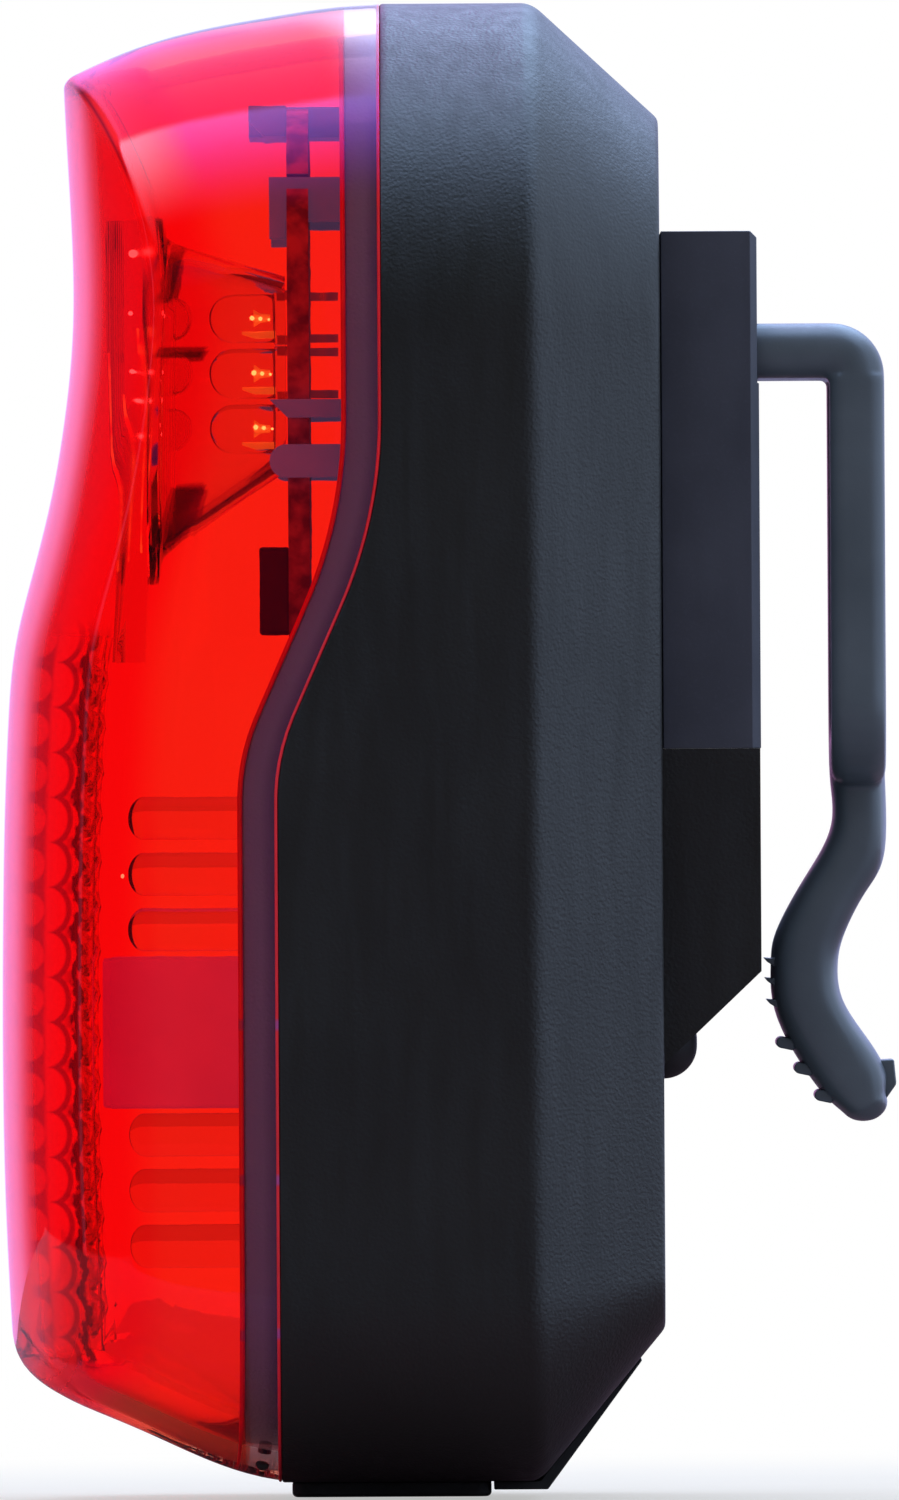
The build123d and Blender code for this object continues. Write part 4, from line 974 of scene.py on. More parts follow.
for piece in tooth_pieces:
    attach(piece, "clip")
    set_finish(piece, "clip_grey")

# %% Softened copies of the bracket and its tongue
for node, width in (("clip_bracket", 0.28), ("release_tongue", 0.22)):
    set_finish(softened_copy(node, width), "dark_case")

# %% [markdown]
# ## Reflex reflector
# Behind the lower part of the lens's front stands a red plate with rows of six-sided pins. Each pin ends in
# three faces like the corner of a cube, which throw light back where it came from. The plate follows the
# crown of the lens and turns round at its sides, so that the pins are also seen from the side. One pin is
# thirteen points; an array puts a copy on each cell of a honeycomb that is wrapped round the plate.

# %% Plate and pins
plate_gap = 0.14
plate_turn = math.radians(16.5)
plate_last_turn = math.radians(82)
plate_side_radius = 2.5
plate_crown = crown - lens_wall - plate_gap
plate_thick, pin_root = 0.8, 0.78
plate_low, plate_high = -36.2, 7.0
pins_low, pins_high, pins_margin = -35.0, 5.9, 0.9


def plate_section(along):
    """The plate's front seen from above: a circle round the crown's centre, then a tighter turn. It gives
    fall, y and the turned angle for a distance along the curve from the middle."""
    flat_run = plate_crown * plate_turn
    far = np.abs(along)
    turn = np.where(far < flat_run, far / plate_crown, plate_turn + (far - flat_run) / plate_side_radius)
    turn = np.minimum(turn, plate_last_turn)
    side_fall = plate_side_radius * (math.cos(plate_turn) - np.cos(turn))
    side_fall = plate_crown * (1 - math.cos(plate_turn)) + side_fall
    side_y = plate_crown * math.sin(plate_turn) + plate_side_radius * (np.sin(turn) - math.sin(plate_turn))
    fall = np.where(turn < plate_turn, plate_crown * (1 - np.cos(turn)), side_fall)
    y = np.where(turn < plate_turn, plate_crown * np.sin(turn), side_y)
    return fall, np.sign(along) * y, np.sign(along) * turn


def plate_point(along, z, depth):
    """A point of the plate at a depth behind its front face."""
    fall, y, turn = plate_section(along)
    x = front_curve(z) + lens_wall + plate_gap + fall
    return stack(x + depth * np.cos(turn), y - depth * np.sin(turn), z)


half_run = plate_crown * plate_turn + plate_side_radius * (plate_last_turn - plate_turn)
along_grid, z_grid = np.meshgrid(np.linspace(-half_run, half_run, 90), np.linspace(plate_low, plate_high, 60))
plate_points = np.concatenate([plate_point(along_grid, z_grid, d).reshape(-1, 3) for d in (0.0, plate_thick)])
rows, columns = along_grid.shape
skin = grid_faces(rows, columns, False, False)
count = rows * columns
rim = np.concatenate(
    [
        np.arange(columns),
        np.arange(1, rows) * columns + columns - 1,
        (rows - 1) * columns + np.arange(columns - 1)[::-1],
        np.arange(1, rows - 1)[::-1] * columns,
    ]
)
rim_faces = np.stack([rim, np.roll(rim, -1), np.roll(rim, -1) + count, rim + count], -1)
plate_faces = np.concatenate([skin, skin[:, ::-1] + count, rim_faces])

pitch, pin_side = 2.7, 1.28 / math.cos(math.pi / 6)
corner_angle = np.arange(6) * math.pi / 3 + math.pi / 6
corner = np.stack([np.cos(corner_angle), np.sin(corner_angle)], -1) * pin_side
corner_depth = np.where(np.arange(6) % 2 == 0, 1.05, 0.5)
foot_and_top = [np.column_stack([corner, np.full(6, -0.05)]), np.column_stack([corner * 0.96, corner_depth])]
pin_shape = np.vstack([*foot_and_top, [(0, 0, 1.75)]])
pin_faces = [[i, (i + 1) % 6, 6 + (i + 1) % 6, 6 + i] for i in range(6)]
pin_faces += [[12, 6 + (i + 5) % 6, 6 + i, 6 + (i + 1) % 6] for i in (1, 3, 5)]
cells = []
column_step = pitch * math.sqrt(3) / 2
for column in range(-8, 9):
    for row in range(16):
        along, z = column * column_step, pins_low + row * pitch + (pitch / 2 if column % 2 else 0)
        if abs(along) < half_run - pins_margin and z < pins_high:
            cells.append((along, z))
cells = np.array(cells)
cell_along, cell_z = cells[:, 0, None], cells[:, 1, None]
side_step, height_step, depth_step = pin_shape.T[:, None]
fall, y, turn = plate_section(np.broadcast_to(cell_along, (len(cells), len(pin_shape))))
beyond = pin_root + depth_step
pin_x = front_curve(cell_z) + lens_wall + plate_gap + fall + beyond * np.cos(turn) + side_step * np.sin(turn)
pin_y = y - beyond * np.sin(turn) + side_step * np.cos(turn)
pin_points = stack(pin_x, pin_y, cell_z + height_step).reshape(-1, 3)
pin_offsets = np.arange(len(cells))[:, None, None] * len(pin_shape)
all_pins = (np.array(pin_faces)[None] + pin_offsets).reshape(-1, 4)
reflex_points = np.concatenate([plate_points, pin_points])
reflex_faces = np.concatenate([plate_faces, all_pins + len(plate_points)]).tolist()
reflex = make_piece("reflex_plate", reflex_points, reflex_faces, sharp=25, outward=False)
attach(reflex, "light")
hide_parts("reflex_reflector")
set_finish(reflex, "red_reflex")
print("pins:", len(cells))

# %% [markdown]
# ## Lamps and bowl
# The three upper lamps are clear domes with a metal frame inside: a post with a cup that holds the chip.
# The frame has a painted warm glow, and a few glowing points are painted highlights where it catches the
# light. A clear bowl stands round them. All are turned or carried profiles, so their outlines stay smooth
# when they are seen through the lens.

# %% Lamps
x_board_front = x_joint_head - 5.6
lamp_heights = (26.16, 22.8, 19.44)


def turned(name, profile, z, y=0.0, steps=48):
    """A profile of (x, radius) points turned round an axis along X at height z."""
    x, radius = np.asarray(profile, float).T[..., None]
    a = np.linspace(0, 2 * math.pi, steps, endpoint=False)
    return sheet_of(name, stack(x, y + radius * np.cos(a), z + radius * np.sin(a)), sharp=40)


def dome_profile(x_base, flange_radius, flange, radius, body, edge=0.08):
    """Half the side view of a lamp: a flange, a straight body and a half ball in front."""
    a = np.linspace(0, math.pi / 2, 14)
    x_dome = x_base - flange - body
    dome = [(x_dome - radius * math.sin(v), radius * math.cos(v)) for v in a]
    low = [(x_base, 0.0), (x_base, flange_radius - edge), (x_base - edge, flange_radius)]
    step = [(x_base - flange + edge, flange_radius), (x_base - flange, flange_radius - edge)]
    neck = [(x_base - flange, radius + 0.02), (x_base - flange - 0.04, radius)]
    return low + step + neck + dome[:-1] + [(x_dome - radius, 0.0)]


def bead(name, x, y, z, radius):
    """A small ball that glows as a painted highlight on a lamp's frame or an optic's edge."""
    a = np.linspace(0, math.pi, 9)
    return turned(name, np.stack([x - radius * np.cos(a), radius * np.sin(a)], -1), z, y, steps=16)


cup_x = x_board_front - 2.2
cup_profile = [(1.0, 0.0), (1.0, 0.2), (0.4, 0.26), (0.0, 0.5), (0.0, 0.42), (0.2, 0.16), (0.2, 0.0)]
cup_profile = np.array(cup_profile) + (cup_x, 0.0)
post_outline = [(-0.9, -0.2), (-0.9, 0.2), (-2.9, 0.2), (-2.9, 0.05), (-2.1, -0.2)]
dome_outline = dome_profile(x_board_front, flange_radius=1.65, flange=1.0, radius=1.5, body=2.4)
glints, lamp_frames = [], []
for number, (node, z) in enumerate(zip(("led_top", "led_middle", "led_bottom"), lamp_heights)):
    dome = turned(f"lamp_dome_{number}", dome_outline, z)
    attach(dome, "light")
    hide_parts(node)
    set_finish(dome, "clear_lamp")
    holder = turned(f"lamp_cup_{number}", cup_profile, z, steps=20)
    post = prism(f"lamp_post_{number}", post_outline, -0.2, 0.2)
    post.data.transform(Matrix.Translation((x_board_front * MM, 0, (z - 0.95) * MM)))
    for piece in (holder, post):
        lamp_frames.append(piece)
        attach(piece, "light")
        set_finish(piece, "tinned_steel")
    # painted highlights: glowing points on each lamp's frame
    for step, size in enumerate((0.14, 0.12, 0.08)):
        x_point, z_point = cup_x - 0.1 + 0.5 * step + 0.1 * number, z + 0.05 * (number - step)
        glints.append(bead(f"lamp_glint_{number}_{step}", x_point, -0.55, z_point, size))
print("lamps at mm:", lamp_heights)

# %% Two pins that locate the lens on the housing's lip
pin_angle = np.linspace(0, 2 * math.pi, 20, endpoint=False)
pin_radius, pin_length = 0.42, 1.2
pin_round = np.stack([-30.2 + pin_radius * np.cos(pin_angle), -42.75 + pin_radius * np.sin(pin_angle)], -1)
for side_name, start in (("left", -14.2), ("right", 13.0)):
    locating_pin = prism("locating_pin_" + side_name, pin_round, start, start + pin_length)
    soften(locating_pin, 0.08, 2, 50)
    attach(locating_pin, "light")
    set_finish(locating_pin, "black_case")

# %% Bowl, and painted highlights: glowing points and edges where the lamps catch the light
x_bowl_mouth = x_board_front - 8.6
bowl_foot, bowl_mouth = np.array([3.7, 5.8, 7.4]), np.array([11.5, 10.1, 23.0])
bowl_wall, corner_share = 0.8, 0.42
bowl_rows = []


def bowl_row(x, share, inwards):
    """One section of the bowl at depth x: share runs from its foot on the board to its wide mouth."""
    half_y, half_z, breadth = bowl_foot + (bowl_mouth - bowl_foot) * share
    y, z = flat_ring(half_y - inwards, half_z - inwards, breadth * corner_share - inwards, 12).T
    bowl_rows.append(stack(x, y, z + 22.8 - 1.7 * share))


for share in np.linspace(0.02, 0.88, 10):
    bowl_row(x_board_front + (x_bowl_mouth - x_board_front) * share, share, 0.0)
for x_step, share, out in (
    (0.86, 0.94, 0.1),
    (0.8, 1.0, 0.8),
    (0.7, 1.0, 0.9),
    (0.1, 1.0, 0.9),
    (0.0, 1.0, 0.8),
    (0.0, 0.94, -0.7),
):
    bowl_row(x_bowl_mouth + x_step, share, -out)
for share in np.linspace(0.97, 0.02, 10):
    bowl_row(x_board_front + (x_bowl_mouth - x_board_front) * share, share, bowl_wall)
# glowing points as painted highlights on the optic's rod ends and top
optic_points = [(x_bowl_mouth - 0.75, -7.15, z, 0.13) for z in (26.4, 22.9, 21.2, 19.1)]
for number, spot in enumerate(optic_points + [(-38.6, -1.5, -7.5, 0.13)]):
    glints.append(bead(f"optic_glint_{number}", *spot))
glints.append(bead("optic_glint_top", x_bowl_mouth - 0.6, -7.2, 30.0, 0.24))
for piece in glints:
    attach(piece, "light")
    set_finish(piece, "lamp_white")
lit_edges = []
# thin slivers that glow as painted highlights along the optic's edges
for number, (x, z_low, z_high) in enumerate(((-38.8, 10.9, 24.0), (-38.1, 11.5, 21.5), (-37.3, 12.0, 25.5))):
    sliver = [(x - 0.05, z_low), (x + 0.05, z_low), (x + 0.05, z_high), (x - 0.05, z_high)]
    edge = soften(prism(f"glint_edge_{number}", sliver, -7.2, -7.08), 0.02, 2)
    lit_edges.append(edge)
    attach(edge, "light")
    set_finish(edge, "clear_optic")
bowl = sheet_of("reflector_bowl_skin", np.array(bowl_rows), wrap_rows=True, sharp=35)
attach(bowl, "light")
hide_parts("reflector_bowl")
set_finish(bowl, "clear_optic")

# %% Softened copies of the inner and soft parts
soft = {}
for node, width, slot in (
    ("board_carrier", 0.14, "black_case"),
    ("centre_baffle", 0.3, "baffle_grey"),
    ("power_coil", 0.18, "chip_black"),
    ("port_flap", 0.14, "soft_black"),
    ("flap_anchor", 0.1, "soft_black"),
    ("power_button", 0.12, "soft_black"),
):
    soft[node] = softened_copy(node, width)
    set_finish(soft[node], slot)

# %% [markdown]
# ## Finishes
# Each finish starts as a few node groups that several materials share: the fine grain of a spark-eroded
# mould, and the soft mottling and streaks of handled plastic. A group only puts out masks and heights;
# every material decides what they change.


# %% Shared effects
def new_group(name, label, usual, outputs):
    """An empty node group with one named number to set and several named outputs."""
    group = bpy.data.node_groups.new(name, "ShaderNodeTree")
    group.interface.new_socket(label, in_out="INPUT", socket_type="NodeSocketFloat").default_value = usual
    for output in outputs:
        group.interface.new_socket(output, in_out="OUTPUT", socket_type="NodeSocketFloat")
    number = put(group, "NodeGroupInput").outputs[label]
    return group, number, put(group, "ShaderNodeTexCoord").outputs["Object"], put(group, "NodeGroupOutput")


grain_group, grains, spot, grain_out = new_group("moulded_grain", "Grains", 4000.0, ["Height", "Speckle"])
sockets = {"Vector": spot, "Scale": grains, "Randomness": 1.0}
domes = put(grain_group, "ShaderNodeTexVoronoi", sockets, feature="SMOOTH_F1").outputs["Distance"]
sockets = {"Vector": spot, "Scale": grains, "Detail": 3.0, "Roughness": 0.6}
pits = put(grain_group, "ShaderNodeTexNoise", sockets).outputs["Fac"]
speckles = spread(grain_group, pits, 0.0, 1.0, 0.56, 0.7)
fill(grain_out, {"Height": sums(grain_group, "ADD", domes, pits), "Speckle": speckles})

mottle_group, patches, spot, mottle_out = new_group("soft_mottle", "Patches", 120.0, ["Broad", "Streak"])
broad = put(mottle_group, "ShaderNodeTexNoise", {"Vector": spot, "Scale": patches, "Detail": 5.0})
drawn_out = put(mottle_group, "ShaderNodeMapping", {"Vector": spot, "Scale": (1.0, 1.0, 0.12)}).outputs[0]
sockets = {"Vector": drawn_out, "Scale": 900.0, "Detail": 3.0, "Distortion": 0.6}
streaks = put(mottle_group, "ShaderNodeTexNoise", sockets)
fill(mottle_out, {"Broad": broad.outputs["Fac"], "Streak": streaks.outputs["Fac"]})
print("groups:", [g.name for g in bpy.data.node_groups])

# %% Helpers for materials
finishes = {}


def new_finish(name):
    """Keeps a new material under its name and gives its Principled shader."""
    finishes[name] = bpy.data.materials.new(name)
    finishes[name].use_nodes = True
    return finishes[name].node_tree.nodes["Principled BSDF"]


def mottle_of(tree, patches):
    """Broad patches and fine streaks, as two outputs."""
    return fill(put(tree, "ShaderNodeGroup", node_tree=mottle_group), {"Patches": patches}).outputs


def two_tones(tree, patches, first, second):
    """Two near colours in soft patches."""
    return mixed(tree, mottle_of(tree, patches)["Broad"], first, second)


def mark_of(shader, label):
    """The number that the points of a piece carry under a label."""
    return put(shader.id_data, "ShaderNodeAttribute", attribute_name=label).outputs["Fac"]


def lay_over(shader, mask, colour):
    """Mixes another colour over the shader's own by a mask."""
    below = shader.inputs["Base Color"].links[0].from_socket
    fill(shader, {"Base Color": mixed(shader.id_data, mask, below, colour)})


def bumped(tree, height, strength, depth):
    """A surface direction bent by a height, with depth in millimetres."""
    sockets = {"Height": height, "Strength": strength, "Distance": depth * MM}
    return put(tree, "ShaderNodeBump", sockets).outputs[0]


def plastic(name, dark, light, grains, depth, rough, patches=120.0, strength=0.35, speckle=0.0):
    """Moulded plastic: two near colours, a fine grain as bump, and a roughness that wanders."""
    shader = new_finish(name)
    tree = shader.id_data
    grain = fill(put(tree, "ShaderNodeGroup", node_tree=grain_group), {"Grains": grains}).outputs
    mottle = mottle_of(tree, patches)
    tone = sums(tree, "ADD", mottle["Broad"], spread(tree, grain["Speckle"], 0.0, speckle, 0.0, 1.0))
    colour = mixed(tree, spread(tree, tone, 0.0, 1.0), dark, light)
    fill(shader, {"Base Color": colour, "Roughness": spread(tree, mottle["Streak"], *rough)})
    return fill(shader, {"Normal": bumped(tree, grain["Height"], strength, depth)})


# %% Plastics: dark and light tone, grains per metre, depth in mm, roughness, patches per metre
# Two of them go on with the bump's strength and how much the grain's bright specks lift the tone.
case_tones = (0.0095, 0.0096, 0.0078), (0.0135, 0.0138, 0.012)
bracket_tones = (0.036, 0.04, 0.062), (0.054, 0.059, 0.088)
plastics = {
    "case_black": (*case_tones, 5000.0, 0.034, (0.4, 0.52), 90.0, 0.6, 0.3),
    "bracket_black": (*bracket_tones, 5200.0, 0.012, (0.38, 0.5), 140.0, 0.3, 0.15),
    "clip_grey": ((0.07, 0.09, 0.117), (0.098, 0.123, 0.158), 6500.0, 0.01, (0.32, 0.44), 160.0),
    "soft_rubber": ((0.012, 0.012, 0.014), (0.022, 0.022, 0.024), 7500.0, 0.012, (0.6, 0.78), 200.0),
    "baffle_plastic": ((0.74, 0.66, 0.7), (0.88, 0.8, 0.84), 5200.0, 0.01, (0.45, 0.6), 160.0),
    "chip_plastic": ((0.02, 0.02, 0.022), (0.035, 0.035, 0.038), 9000.0, 0.008, (0.45, 0.6), 300.0),
    "lamp_white": ((0.7, 0.66, 0.5), (0.85, 0.82, 0.7), 9000.0, 0.004, (0.3, 0.4), 300.0),
    "foam": ((0.6, 0.6, 0.56), (0.8, 0.8, 0.76), 5200.0, 0.05, (0.8, 0.95), 200.0, 0.8),
    "lead_red": ((0.4, 0.02, 0.02), (0.55, 0.04, 0.03), 5200.0, 0.01, (0.4, 0.5), 200.0),
    "ribbon_white": ((0.62, 0.62, 0.6), (0.78, 0.78, 0.75), 5200.0, 0.006, (0.4, 0.55), 200.0),
    "capacitor_tan": ((0.36, 0.26, 0.15), (0.5, 0.37, 0.22), 9000.0, 0.005, (0.3, 0.45), 300.0),
    "inner_black": ((0.13, 0.12, 0.14), (0.2, 0.18, 0.21), 5200.0, 0.012, (0.4, 0.55), 140.0),
    "red_bead": ((0.75, 0.004, 0.02), (0.95, 0.01, 0.035), 5200.0, 0.004, (0.35, 0.5), 400.0),
}
shaders = {name: plastic(name, *row) for name, row in plastics.items()}
print("plastics:", len(shaders))

# %% [markdown]
# A few plastics differ from the plain kind. The housing's lip, seen through the lens, is paler and duller
# than the rest. The carrier has a painted reflection: a bluish glow stands in for the sky that it mirrors,
# which reaches the eye as a violet sheen. The baffle has a painted glow for the light that comes through its
# thin walls. The weld bead has three dark ticks where it was squeezed out unevenly.

# %% Lip, carrier, baffle and weld bead
case = shaders["case_black"]
lay_over(case, mark_of(case, "lip"), (0.13, 0.125, 0.135))
fill(case, {"Specular IOR Level": spread(case.id_data, mark_of(case, "lip"), 0.5, 0.06, 0.0, 1.0)})
# painted light: a glow for the carrier's mirrored sky and for the light through the baffle
for name, patches, first, second, strength in (
    ("inner_black", 140.0, (0.02, 0.17, 1.0), (0.05, 0.27, 1.6), 0.8),
    ("baffle_plastic", 260.0, (0.5, 0.1, 0.7), (0.72, 0.14, 0.95), 0.5),
):
    painted_glow = two_tones(shaders[name].id_data, patches, first, second)
    fill(shaders[name], {"Emission Color": painted_glow, "Emission Strength": strength})

bead_tree = shaders["red_bead"].id_data
bead_height = object_parts(bead_tree)["Z"]
ticks = []
for height in (-16.4, -25.7, -34.9):
    apart = sums(bead_tree, "ABSOLUTE", sums(bead_tree, "ADD", bead_height, -height * MM))
    ticks.append(spread(bead_tree, apart, 0.0, 1.0, 0.4 * MM, 0.2 * MM))
lay_over(shaders["red_bead"], sums(bead_tree, "MAXIMUM", *ticks), (0.5, 0.06, 0.3))
print("ticks on the bead:", len(ticks))


# %% Clear plastics
def clear(name, colour, second, ior, rough, wave):
    """Clear moulded plastic: tinted glass with a faint waviness from the mould."""
    shader = new_finish(name)
    tree = shader.id_data
    mottle = mottle_of(tree, 70.0)
    tint = mixed(tree, spread(tree, mottle["Broad"], 0.0, 1.0), colour, second)
    fill(shader, {"Base Color": tint, "Roughness": spread(tree, mottle["Streak"], *rough)})
    fill(shader, {"Normal": bumped(tree, mottle["Broad"], wave, 0.12)})
    return fill(shader, {"Metallic": 0.0, "Transmission Weight": 1.0, "IOR": ior})


plastic_index = 1.46
red = clear("red_clear", (1.0, 0.1, 0.045), (1.0, 0.125, 0.055), plastic_index, (0.0, 0.03), 0.25)
clear("reflex_red", (1.0, 0.22, 0.14), (1.0, 0.3, 0.2), 1.49, (0.02, 0.06), 0.2)
clear("optic_clear", (0.97, 0.97, 0.96), (0.92, 0.92, 0.92), 1.2, (0.0, 0.05), 0.2)
clear("lamp_clear", (0.98, 0.97, 0.93), (0.94, 0.94, 0.9), 1.08, (0.0, 0.04), 0.15)
clear("faint_clear", (0.93, 0.9, 0.95), (0.86, 0.82, 0.9), 1.07, (0.0, 0.05), 0.2)
bowl_shader = clear("bowl_clear", (0.97, 0.97, 0.96), (0.92, 0.92, 0.92), 1.3, (0.02, 0.07), 0.2)
fill(red, {"Specular Tint": (0.6, 0.12, 1.0, 1.0)})
for label, colour in (
    ("flange", (0.96, 0.66, 0.72)),
    ("front_depth", (1.0, 0.018, 0.03)),
    # painted shade: a dark line along the crease near the head
    ("crease_shade", (0.1, 0.004, 0.04)),
):
    lay_over(red, mark_of(red, label), colour)

# %% Bowl: painted reflections, dark patches where its flanks mirror the black shell
bowl_tree = bowl_shader.id_data
bowl_parts = object_parts(bowl_tree)


def patch(x_low, x_high, z_low, z_high, lean, soft=0.16):
    """A soft-edged four-sided patch whose upright sides lean by lean millimetres per millimetre of height."""
    shift = sums(bowl_tree, "MULTIPLY", bowl_parts["Z"], lean)
    x = sums(bowl_tree, "SUBTRACT", bowl_parts["X"], shift)
    x_low, x_high = x_low - lean * z_low, x_high - lean * z_low
    sides = [
        soft_step(bowl_tree, x, x_low * MM, (x_low + soft) * MM),
        soft_step(bowl_tree, x, x_high * MM, (x_high - soft) * MM),
        soft_step(bowl_tree, bowl_parts["Z"], z_low * MM, (z_low + soft) * MM),
        soft_step(bowl_tree, bowl_parts["Z"], z_high * MM, (z_high - soft) * MM),
    ]
    return sums(bowl_tree, "MULTIPLY", *sides)


painted_shell_reflections = [
    patch(-36.8, -35.6, 26.9, 30.6, lean=0.35),
    patch(-36.9, -34.6, 11.4, 16.0, lean=0.3),
    patch(-36.8, -33.6, 23.6, 24.4, lean=0.6),
]
# painted reflection of the black shell on the bowl's flanks
lay_over(bowl_shader, sums(bowl_tree, "MAXIMUM", *painted_shell_reflections), (0.32, 0.1, 0.2))
print("patches on the bowl:", len(painted_shell_reflections))

# %% [markdown]
# The lens has effects of its own. Its crease is a little dull, because a mould's sharp edge doesn't take a
# polish, so the roughness rises there. From the front to past the crease the wall hardly bends the view:
# its index is low there, and a clear coat keeps the gloss. Where the reflex pins show through the rounded
# front edge, their image is painted on the outer surface as shade: a column of round discs with dark rims,
# a second column of arcs, which the curved plastic magnifies, and a ragged dark line behind both. A lattice
# of cells along the edge gives the distance to the nearest disc, and that distance sets the painted tint.

# %% Lens: dull crease, straight view near the front
red_tree = red.id_data


def calc(operation, *values):
    """A step of arithmetic in the lens's material."""
    return sums(red_tree, operation, *values)


crease_dull = calc("MULTIPLY", mark_of(red, "crease"), 0.3)
near_front, outside = mark_of(red, "corner"), mark_of(red, "outside")
fill(
    red,
    {
        "Roughness": calc("ADD", red.inputs["Roughness"].links[0].from_socket, crease_dull),
        "IOR": spread(red_tree, near_front, plastic_index, 1.05, 0.0, 1.0),
        "Coat Weight": calc("MULTIPLY", near_front, outside),
        "Coat IOR": plastic_index,
        "Coat Roughness": 0.02,
    },
)

# %% Lens: painted shade of the pins seen through the rounded edge
depth_here = mark_of(red, "behind_front")
lens_parts = object_parts(red_tree)
cell = calc("FRACT", calc("MULTIPLY", lens_parts["Z"], 1 / (pitch * MM)))
off_z = calc("MULTIPLY", calc("SUBTRACT", cell, 0.5), pitch)


def disc_distance(centre, wide, tall):
    """((x - centre)^2 / wide^2 + z^2 / tall^2) ^ 0.5 from the middle of the nearest oval in a column."""
    across = calc("DIVIDE", calc("SUBTRACT", depth_here, centre), wide)
    along = calc("DIVIDE", off_z, tall)
    return calc("POWER", calc("ADD", calc("MULTIPLY", across, across), calc("MULTIPLY", along, along)), 0.5)


def band(value, start, rise, fall, end):
    """1 between rise and fall, fading out to start and end."""
    return calc("MULTIPLY", soft_step(red_tree, value, start, rise), soft_step(red_tree, value, end, fall))


first = disc_distance(centre=1.75, wide=0.98, tall=1.1)
second = disc_distance(centre=2.75, wide=1.35, tall=1.5)
ring_one = calc("MULTIPLY", band(first, 0.8, 1.0, 1.6, 3.0), band(depth_here, 0.3, 0.9, 2.5, 2.9), 0.62)
ring_two = calc("MULTIPLY", band(second, 0.84, 0.97, 1.1, 1.22), band(depth_here, 2.6, 2.9, 4.6, 4.9), 0.8)
lens_place = put(red_tree, "ShaderNodeTexCoord").outputs["Object"]
ragged = put(red_tree, "ShaderNodeTexNoise", {"Vector": lens_place, "Scale": 1500.0, "Detail": 2.0})
wave = calc("MULTIPLY", calc("ABSOLUTE", off_z), 0.28)
wave = calc("ADD", wave, calc("MULTIPLY", ragged.outputs["Fac"], 0.9), -0.45)
wave_line = band(calc("ADD", depth_here, wave), 4.5, 4.7, 5.0, 5.25)
pin_rows = band(calc("MULTIPLY", lens_parts["Z"], 1 / MM), -37.2, -36.4, 5.6, 8.4)
near_side = spread(red_tree, calc("ABSOLUTE", lens_parts["Y"]), 0.0, 1.0, 10.5 * MM, 12.5 * MM)
painted_pin_shade = calc("MAXIMUM", ring_one, ring_two, wave_line)
# painted shade: dark rims of discs and a ragged dark line where the pins show through
lay_over(red, calc("MULTIPLY", painted_pin_shade, pin_rows, near_side, outside), (0.06, 0.002, 0.04))
print("nodes in the lens's finish:", len(red_tree.nodes))


# %% Metals, and painted light: glowing lamp frames, edge highlights and glint points
def mottled(name, patches, first, second, rough, **more):
    """A smooth finish of two near colours; rough is a number, or a pair that it wanders between."""
    shader = new_finish(name)
    tree = shader.id_data
    mottle = mottle_of(tree, patches)
    if isinstance(rough, tuple):
        rough = spread(tree, mottle["Streak"], *rough)
    fill(shader, {"Base Color": mixed(tree, mottle["Broad"], first, second), "Roughness": rough})
    return fill(shader, {label.replace("_", " "): value for label, value in more.items()})


mottled("tinned_steel", 400.0, (0.5, 0.5, 0.47), (0.72, 0.71, 0.68), (0.22, 0.45), Metallic=1.0)
mottled("cell_foil", 160.0, (0.55, 0.56, 0.58), (0.75, 0.76, 0.77), (0.3, 0.5), Metallic=1.0)
warm, bright = (0.85, 0.5, 0.12, 1.0), (1.0, 0.9, 0.55, 1.0)
warm_tones, glint_tones = ((0.7, 0.5, 0.3), (0.9, 0.7, 0.4)), ((0.9, 0.85, 0.6), (1.0, 0.97, 0.8))
# painted glow: the lamp frames give off a warm light of their own
mottled("warm_frame", 1500.0, *warm_tones, 0.3, Emission_Color=warm, Emission_Strength=0.85)
# painted highlights: the glint points glow brightly
mottled("bright_point", 900.0, *glint_tones, 0.25, Emission_Color=bright, Emission_Strength=7.0)

# painted highlight: the thin edges by the optic glow in streaks
edge_shader = new_finish("warm_edge")
edge_tree = edge_shader.id_data
streaky = spread(edge_tree, mottle_of(edge_tree, 700.0)["Broad"], 0.0, 1.0, 0.42, 0.62)
edge_glow = mixed(edge_tree, streaky, (0.95, 0.12, 0.03), (1.0, 1.7, 0.2))
edge_colour = mixed(edge_tree, streaky, (0.5, 0.1, 0.05), (0.8, 0.5, 0.2))
fill(edge_shader, {"Base Color": edge_colour, "Emission Color": edge_glow, "Emission Strength": 0.9})

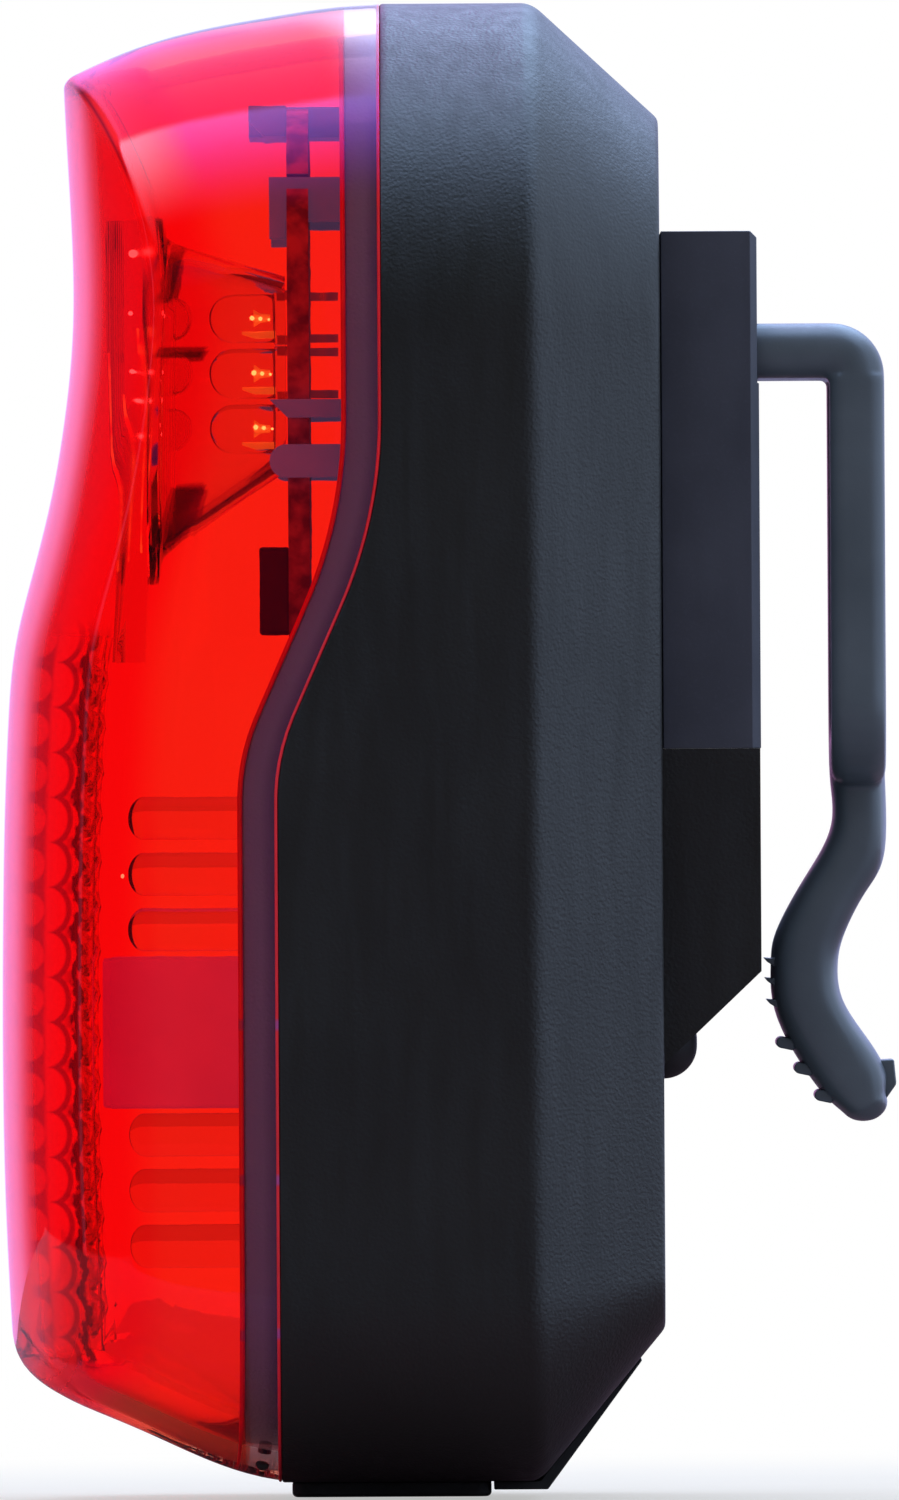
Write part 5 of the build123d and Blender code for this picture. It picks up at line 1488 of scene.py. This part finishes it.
# %% Board: green faces and the raw glass fibre of its cut edges
board_shader = new_finish("board_mask")
board_tree = board_shader.id_data
geometry = put(board_tree, "ShaderNodeNewGeometry").outputs["True Normal"]
faces_x = sums(board_tree, "ABSOLUTE", put(board_tree, "ShaderNodeSeparateXYZ", {0: geometry}).outputs["X"])
board_mottle = mottle_of(board_tree, 700.0)
edge_patches = spread(board_tree, board_mottle["Broad"], 0.0, 1.0, 0.38, 0.62)
face_patches = spread(board_tree, board_mottle["Broad"], 0.0, 1.0, 0.45, 0.55)
cut_edge = mixed(board_tree, edge_patches, (0.12, 0.06, 0.08), (0.5, 0.3, 0.3))
green_face = mixed(board_tree, face_patches, (0.01, 0.07, 0.03), (0.02, 0.13, 0.06))
board_rough = spread(board_tree, board_mottle["Streak"], 0.35, 0.6)
fill(board_shader, {"Base Color": mixed(board_tree, faces_x, cut_edge, green_face), "Roughness": board_rough})
print("finishes:", len(finishes))

# %% Give each part its finish
finish_of_slot = {
    "black_case": "case_black",
    "dark_case": "bracket_black",
    "red_lens": "red_clear",
    "red_reflex": "reflex_red",
    "clear_optic": "optic_clear",
    "clear_lamp": "lamp_clear",
    "baffle_grey": "baffle_plastic",
    "board_green": "board_mask",
    "chip_black": "chip_plastic",
    "foil_cell": "cell_foil",
    "foam_pad": "foam",
    "soft_black": "soft_rubber",
}


def finish_for(slot):
    """The material of a slot; the other slots have a finish of their own name."""
    return finishes[finish_of_slot.get(slot, slot)]


slot_of_node = {row["node"]: row["material_slot"] for row in frame["record"]["subparts"]}
for name, node in nodes.items():
    node.data.materials.clear()
    node.data.materials.append(finish_for(slot_of_node[name]))
for name in ("light_guide_lower", "window_optic"):
    nodes[name].data.materials[0] = finishes["faint_clear"]
own_finish = {
    "red_bead": [weld_bead, lip_bead],
    "bowl_clear": [bowl],
    "inner_black": [soft["board_carrier"]],
    "bright_point": glints,
    "warm_frame": lamp_frames,
    "warm_edge": lit_edges,
}
for name, pieces in own_finish.items():
    for piece in pieces:
        piece.data.materials.append(finishes[name])
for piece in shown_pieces():
    if not len(piece.data.materials) or piece.data.materials[0] is None:
        piece.data.materials.clear()
        piece.data.materials.append(finish_for(piece["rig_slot"]))
